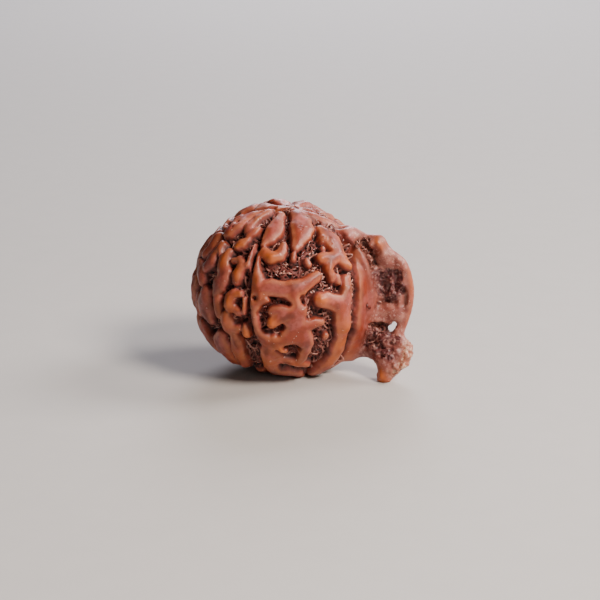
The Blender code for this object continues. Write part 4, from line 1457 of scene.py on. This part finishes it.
        # painted shade on the crevices' floors, lighter where the matted threads rise out of it
        dark = floor * smooth_step(*self.painted_shade_rise, inside) * (1.0 - self.thread_clear * threads)
        return {
            Mask.PAINTED_SHADE: dark + self.pit_painted_shade * on_crest * pits,
            Mask.PULP: floor * smooth_step(*self.pulp_rise, inside),
            Mask.WEAR_AND_PAINTED_LIGHT: off * amber + self.rim_highlight_share * on_crest * rim * (1.0 - broken),
            Mask.EDGE: off * edge,
            Mask.CREST: on_crest * (1.0 - rim),
            Mask.TORN: on_crest * torn,
            Mask.BROKEN: on_crest * broken,
        }

    def build(self) -> Object:
        """Builds, dresses and places the piece.

        Returns:
            The object, in metres in the row's frame.
        """
        first, last = ((self.first_voxel, self.last_voxel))
        mesh = self.plain_form(first)
        self.raise_relief(mesh, fine=False)
        mesh = even_grain(mesh, last)
        self.raise_relief(mesh, fine=True)
        mesh = self.thin_out(mesh)
        for mask, values in self.masks(mesh).items():
            set_attribute(mesh, mask.value, values)
        points = get_points(mesh) + (0.0, 0.0, self.body.rest_height)
        points[:, 2] = np.maximum(points[:, 2], 0.0)
        set_points(mesh, points * MM)
        mesh.materials.clear()
        mesh.materials.append(self.finish.material())
        mesh.shade_smooth()
        skin = new_object("bead_skin", mesh)
        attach(skin, "root")
        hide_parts("bead")
        return skin


@dataclass(frozen=True)
class CreviceFibres:
    """Fibres that wind along the floors of the crevices and arch over them, in millimetres."""

    side: Side
    skin: BeadSkin = BeadSkin()
    finish: DriedFibre = DriedFibre()
    gap: float = 0.58  # from one root to the next
    most: int = 1000
    floor: float = -0.22  # roots stand where the floor lies this far outside the lobes
    lowest: float = 1.2  # and this far above the ground
    furthest: float = 1.03  # and no further out than this share of the body's radius
    length: Place = (1.1, 2.8)
    curl: Place = (0.6, 3.4)  # radians that a fibre turns in a millimetre
    bends: Place = (0.5, 4.5)  # how fast it bends back and forth, in radians over its length
    bend_start: Place = (-1.2, 1.2)  # where in its bend it starts, in radians
    arch: Place = (0.1, 0.6)  # how high it arches over the floor
    arch_share: Place = (0.3, 1.0)  # and a second draw that lowers it
    arches: Place = (0.6, 2.0)  # how many times
    arch_start: Place = (0.0, 0.4)
    end_lift: Place = (0.2, 0.4)  # share of its lift at an end, and what each ring from there adds
    clear: float = 0.2  # its lowest height over the plain floor
    shy: float = 0.16  # it starts to turn from a lobe when this far from its outline
    shy_turn: float = 6.0
    shy_most: float = 0.5
    loops: int = 120  # fibres that stand on the crest
    loop_from: float = 1.02  # share of the body's radius that they start at
    loop_front: float = -0.1  # and this far towards the front
    loop_radius: Place = (0.22, 0.42)
    loop_widening: Place = (-0.3, 0.3)
    loop_tilt: Place = (0.2, 1.2)  # radians
    loop_start: Place = (-0.7, 0.9)
    loop_turn: Place = (3.0, 5.6)
    loop_rise: Place = (0.0, 0.25)
    thickness: Place = (0.08, 0.14)
    end_thickness: Place = (0.35, 0.4)  # share at an end, and what each ring from there adds
    flat: float = 0.6  # a fibre is this much thinner across
    tone_power: float = 1.7  # the higher, the fewer of them are pale
    end_tone: Place = (0.3, 0.2)  # share at an end, and what each ring from there adds
    rings: int = 18
    sides: int = 5

    def spread(self, points: Array, wanted: Array, most: int, rng: np.random.Generator) -> Array:
        """Chooses points that keep the gap from one another.

        Args:
            points: millimetres from the middle of the body.
            wanted: which of them may be chosen.
            most: how many are enough.
            rng: seeded random numbers.

        Returns:
            The chosen points' places in the list.
        """
        taken: dict[tuple, list[Array]] = {}
        kept: list[int] = []
        for index in rng.permutation(np.flatnonzero(wanted)):
            point = points[index]
            cell = tuple(np.floor(point / self.gap).astype(int))
            around = itertools.product(*((c - 1, c, c + 1) for c in cell))
            close = (other for key in around for other in taken.get(key, ()))
            if any(np.dot(point - other, point - other) < self.gap**2 for other in close):
                continue
            taken.setdefault(cell, []).append(point)
            kept.append(index)
            if len(kept) == most:
                break
        return np.array(kept, dtype=int)

    def slope(self, places: Array) -> tuple[Array, Array]:
        """How the depth inside the lobes changes at places on the body.

        Args:
            places: unit directions in the upright body.

        Returns:
            How far each place lies inside a lobe, and which way that grows fastest.
        """
        reach = 0.06 / MEAN_RADIUS
        first = unit(np.cross(places, (0.0, 0.0, 1.0)))
        second = np.cross(places, first)
        inside, one, two = (
            self.skin.relief.inside(places + reach * step) for step in (np.zeros(3), first, second)
        )
        return inside, unit(first * (one - inside)[:, None] + second * (two - inside)[:, None])

    def wind(self, places: Array, rng: np.random.Generator) -> Array:
        """Lines that start at places on the body and wind along the crevices.

        Args:
            places: unit directions in the upright body.
            rng: seeded random numbers.

        Returns:
            Millimetres from the middle of the body, by fibre, ring and axis.
        """
        count, last = len(places), self.rings - 1
        step = rng.uniform(*self.length, count) / last
        curl = rng.uniform(*self.curl, count) * rng.choice((-1.0, 1.0), count)
        height = rng.uniform(*self.arch, count) * rng.uniform(*self.arch_share, count)
        arches, phase = rng.uniform(*self.arches, count), rng.uniform(*self.arch_start, count)
        bends, start = rng.uniform(*self.bends, count), rng.uniform(*self.bend_start, count)
        inside, uphill = self.slope(places)
        heading = np.cross(places, uphill) * rng.choice((-1.0, 1.0), count)[:, None]
        low, more = self.end_lift
        line = []
        for ring in range(self.rings):
            share = ring / last
            lift = self.clear + height * np.sin(math.pi * (arches * share + phase)) ** 2
            lift *= min(1.0, low + more * ring, low + more * (last - ring))
            over = self.skin.relief.height(places, np.minimum(inside, self.floor)) + lift
            out = self.skin.body.surface(places)
            line.append(out + over[:, None] * unit(out))
            bend = curl * step * np.cos(start + bends * share)
            heading += bend[:, None] * np.cross(places, heading)
            shyness = np.clip(inside + self.shy, 0.0, self.shy_most) / self.shy
            heading -= uphill * (self.shy_turn * step * shyness)[:, None]
            heading = unit(heading - places * np.sum(heading * places, axis=1)[:, None])
            places = unit(places + heading * (step / MEAN_RADIUS)[:, None])
            inside, uphill = self.slope(places)
        return np.stack(line, axis=1)

    def stand(self, roots: Array, outward: Array, rng: np.random.Generator) -> Array:
        """Open loops that lean over roots on the crest.

        Args:
            roots: millimetres from the middle of the body.
            outward: the surface's normal at each.
            rng: seeded random numbers.

        Returns:
            Millimetres from the middle of the body, by fibre, ring and axis.
        """
        count = len(roots)

        def draw(limits: Place) -> Array:
            """A random number within the limits for each loop, in a column."""
            return rng.uniform(*limits, count)[:, None]

        along = unit(np.cross(outward, rng.normal(size=(count, 3))))
        tilt = draw(self.loop_tilt)
        rising = np.cos(tilt) * np.cross(outward, along) + np.sin(tilt) * outward
        step = np.linspace(0.0, 1.0, self.rings)[None, :]
        turn = draw(self.loop_start) + draw(self.loop_turn) * step
        radius = draw(self.loop_radius) * (1.0 + draw(self.loop_widening) * step)
        middle = roots + outward * draw(self.loop_rise)
        return (
            middle[:, None, :]
            + (radius * np.cos(turn))[..., None] * along[:, None, :]
            + (radius * np.sin(turn))[..., None] * rising[:, None, :]
        )

    def lines(self, mesh: Mesh, rng: np.random.Generator) -> Array:
        """The centre lines of the piece's fibres.

        Args:
            mesh: the skin, in metres.
            rng: seeded random numbers.

        Returns:
            Millimetres from the middle of the body, by fibre, ring and axis.
        """
        points = get_points(mesh) / MM - (0.0, 0.0, self.skin.body.rest_height)
        directions, out = self.skin.body.place(points)
        shown = self.skin.relief.shown_share(directions) > 0.5
        above_ground = points[:, 2] > self.lowest - self.skin.body.rest_height
        wanted = (self.skin.relief.inside(directions) < self.floor) & (out < self.furthest) & above_ground
        wanted &= shown if self.side is Side.SHOWN else ~shown
        wound = self.wind(directions[self.spread(points, wanted, self.most, rng)], rng)
        if self.side is Side.HIDDEN:
            return wound
        pits = within(points[:, 0], points[:, 2], ROOT_PITS + CURLED_PLACES, soft=0.15) > 0.5
        pits &= (out > self.loop_from) & (points[:, 1] < self.loop_front)
        chosen = self.spread(points, pits, self.loops, rng)
        return np.concatenate((wound, self.stand(points[chosen], get_normals(mesh)[chosen], rng)))

    def tubes(self, lines: Array, rng: np.random.Generator) -> Mesh:
        """A closed, flattened tube along each line, tapering to its ends.

        Args:
            lines: millimetres from the middle of the body, by fibre, ring and axis.
            rng: seeded random numbers.

        Returns:
            The mesh, in metres, with each vertex's tone.
        """
        count = len(lines)
        along = unit(np.gradient(lines, axis=1))
        side = unit(np.cross(lines, along))
        rising = np.cross(along, side)
        from_end = np.minimum(np.arange(self.rings), np.arange(self.rings)[::-1])
        taper, fade = (
            np.clip(least + more * from_end, 0.0, 1.0)[None, :]
            for least, more in (self.end_thickness, self.end_tone)
        )
        thick = rng.uniform(*self.thickness, count)[:, None] * taper
        angles = (np.arange(self.sides) * 2.0 * math.pi / self.sides)[:, None]
        ring = np.cos(angles) * side[:, :, None, :] + self.flat * np.sin(angles) * rising[:, :, None, :]
        points = (lines[:, :, None, :] + thick[:, :, None, None] * ring).reshape(-1, 3)
        ring_start = (np.arange(count * self.rings) * self.sides).reshape(count, self.rings)
        corner = np.arange(self.sides)
        following = (corner + 1) % self.sides
        low, high = ring_start[:, :-1].reshape(-1, 1), ring_start[:, 1:].reshape(-1, 1)
        quads = np.stack((low + corner, low + following, high + following, high + corner), axis=2)
        faces = quads.reshape(-1, 4).tolist()
        faces += (ring_start[:, :1] + corner[::-1]).tolist()
        faces += (ring_start[:, -1:] + corner).tolist()
        mesh = bpy.data.meshes.new(self.side.value)
        mesh.from_pydata((points + (0.0, 0.0, self.skin.body.rest_height)) * MM, [], faces)
        tone = rng.uniform(0.0, 1.0, count)[:, None] ** self.tone_power * fade
        set_attribute(mesh, TONE, np.repeat(tone.reshape(-1), self.sides))
        mesh.update()
        return mesh

    def build(self, skin: Object) -> Object:
        """Builds, dresses and places the piece.

        Args:
            skin: the bead's surface, which the fibres are rooted in.

        Returns:
            The object.
        """
        rng = np.random.default_rng(Field.SHOWN_FIBRES if self.side is Side.SHOWN else Field.HIDDEN_FIBRES)
        mesh = self.tubes(self.lines(skin.data, rng), rng)
        mesh.materials.append(self.finish.material())
        mesh.shade_smooth()
        fibres = new_object(self.side.value, mesh)
        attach(fibres, "root")
        return fibres


@dataclass(frozen=True)
class Lamp:
    """A round soft lamp that faces the bead."""

    name: str
    round: float  # degrees round from the front
    rise: float  # degrees above the floor
    away: float  # metres
    size: float
    watts: float
    tint: str


@dataclass(frozen=True)
class Studio:
    """A plain pale floor, soft lamps and the camera, in metres."""

    floor_radius: float = 1.6
    card: MattCard = MattCard()
    lamps: tuple[Lamp, ...] = (
        Lamp("key", 64.0, 42.0, 0.30, 0.10, 1.36, "FFF2E8"),
        Lamp("rim", 120.0, 38.0, 0.60, 0.24, 3.6, "FFF6F4"),
        Lamp("back", 190.0, 30.0, 0.60, 0.30, 3.2, "F4F2FF"),
        Lamp("fill", 40.0, 18.0, 0.40, 0.20, 0.16, "FFF6F0"),
    )
    aim: Place = (0.0, 0.0, 0.01018)
    camera_round: float = 15.0  # degrees round from the front
    camera_rise: float = 16.5
    camera_distance: float = 0.203
    lens: float = 100.0  # millimetres, on a sensor 36 mm wide
    nearest: float = 0.01  # what is closer to the camera isn't drawn
    image_side: int = 600
    aim_pixel: Place = (283.4, 287.0)  # where the middle of the body stands in the image
    sky: str = "F2F4F7"
    sky_strength: float = 0.06

    def face(self, obj: Object, round_degrees: float, rise: float, away: float) -> None:
        """Puts a lamp or the camera round the bead and turns it to face the bead.

        Args:
            obj: the lamp or the camera.
            round_degrees: degrees round from the front.
            rise: degrees above the floor.
            away: metres from the middle of the body.
        """
        a, e = math.radians(round_degrees), math.radians(rise)
        out = Vector((math.sin(a) * math.cos(e), -math.cos(a) * math.cos(e), math.sin(e)))
        obj.location = Vector(self.aim) + out * away
        obj.rotation_euler = out.to_track_quat("Z", "Y").to_euler()

    def floor(self) -> Object:
        """The floor, which isn't part of the bead.

        Returns:
            The object.
        """
        disc = bmesh.new()
        bmesh.ops.create_circle(disc, cap_ends=True, segments=96, radius=self.floor_radius)
        mesh = to_mesh(disc, "floor")
        mesh.materials.append(self.card.material())
        floor = new_object("floor", mesh)
        return floor

    def light(self, lamp: Lamp) -> None:
        """Adds a lamp.

        Args:
            lamp: which one.
        """
        light = bpy.data.lights.new(lamp.name, "AREA")
        light.shape = "DISK"
        light.size = lamp.size
        light.energy = lamp.watts
        light.color = linear(lamp.tint)[:3]
        self.face(new_object(lamp.name, light), lamp.round, lamp.rise, lamp.away)

    def camera(self) -> None:
        """The camera at the photograph's viewing angle."""
        data = bpy.data.cameras.new("camera")
        data.lens = self.lens
        data.clip_start = self.nearest
        data.shift_x = (self.image_side / 2 - self.aim_pixel[0]) / self.image_side
        data.shift_y = (self.aim_pixel[1] - self.image_side / 2) / self.image_side
        camera = new_object("camera", data)
        self.face(camera, self.camera_round, self.camera_rise, self.camera_distance)
        bpy.context.scene.camera = camera

    def world(self) -> None:
        """Even pale light from all round."""
        world = bpy.data.worlds.new("studio")
        world.use_nodes = True
        background = world.node_tree.nodes["Background"]
        background.inputs["Color"].default_value = linear(self.sky)
        background.inputs["Strength"].default_value = self.sky_strength
        bpy.context.scene.world = world

    def build(self) -> None:
        """Sets up the floor, the lamps and the camera."""
        self.floor()
        self.world()
        for lamp in self.lamps:
            self.light(lamp)
        self.camera()


def report(piece: Object) -> None:
    """Logs a piece's name and its triangles."""
    piece.data.calc_loop_triangles()
    logging.info("%s: %d triangles", piece.name, len(piece.data.loop_triangles))


def main() -> None:
    """Builds the bead's skin, its fibres and the studio."""
    logging.basicConfig(level=logging.INFO, format="%(message)s")
    skin = BeadSkin().build()
    report(skin)
    for side in Side:
        report(CreviceFibres(side).build(skin))
    Studio().build()


if __name__ == "__main__":
    main()
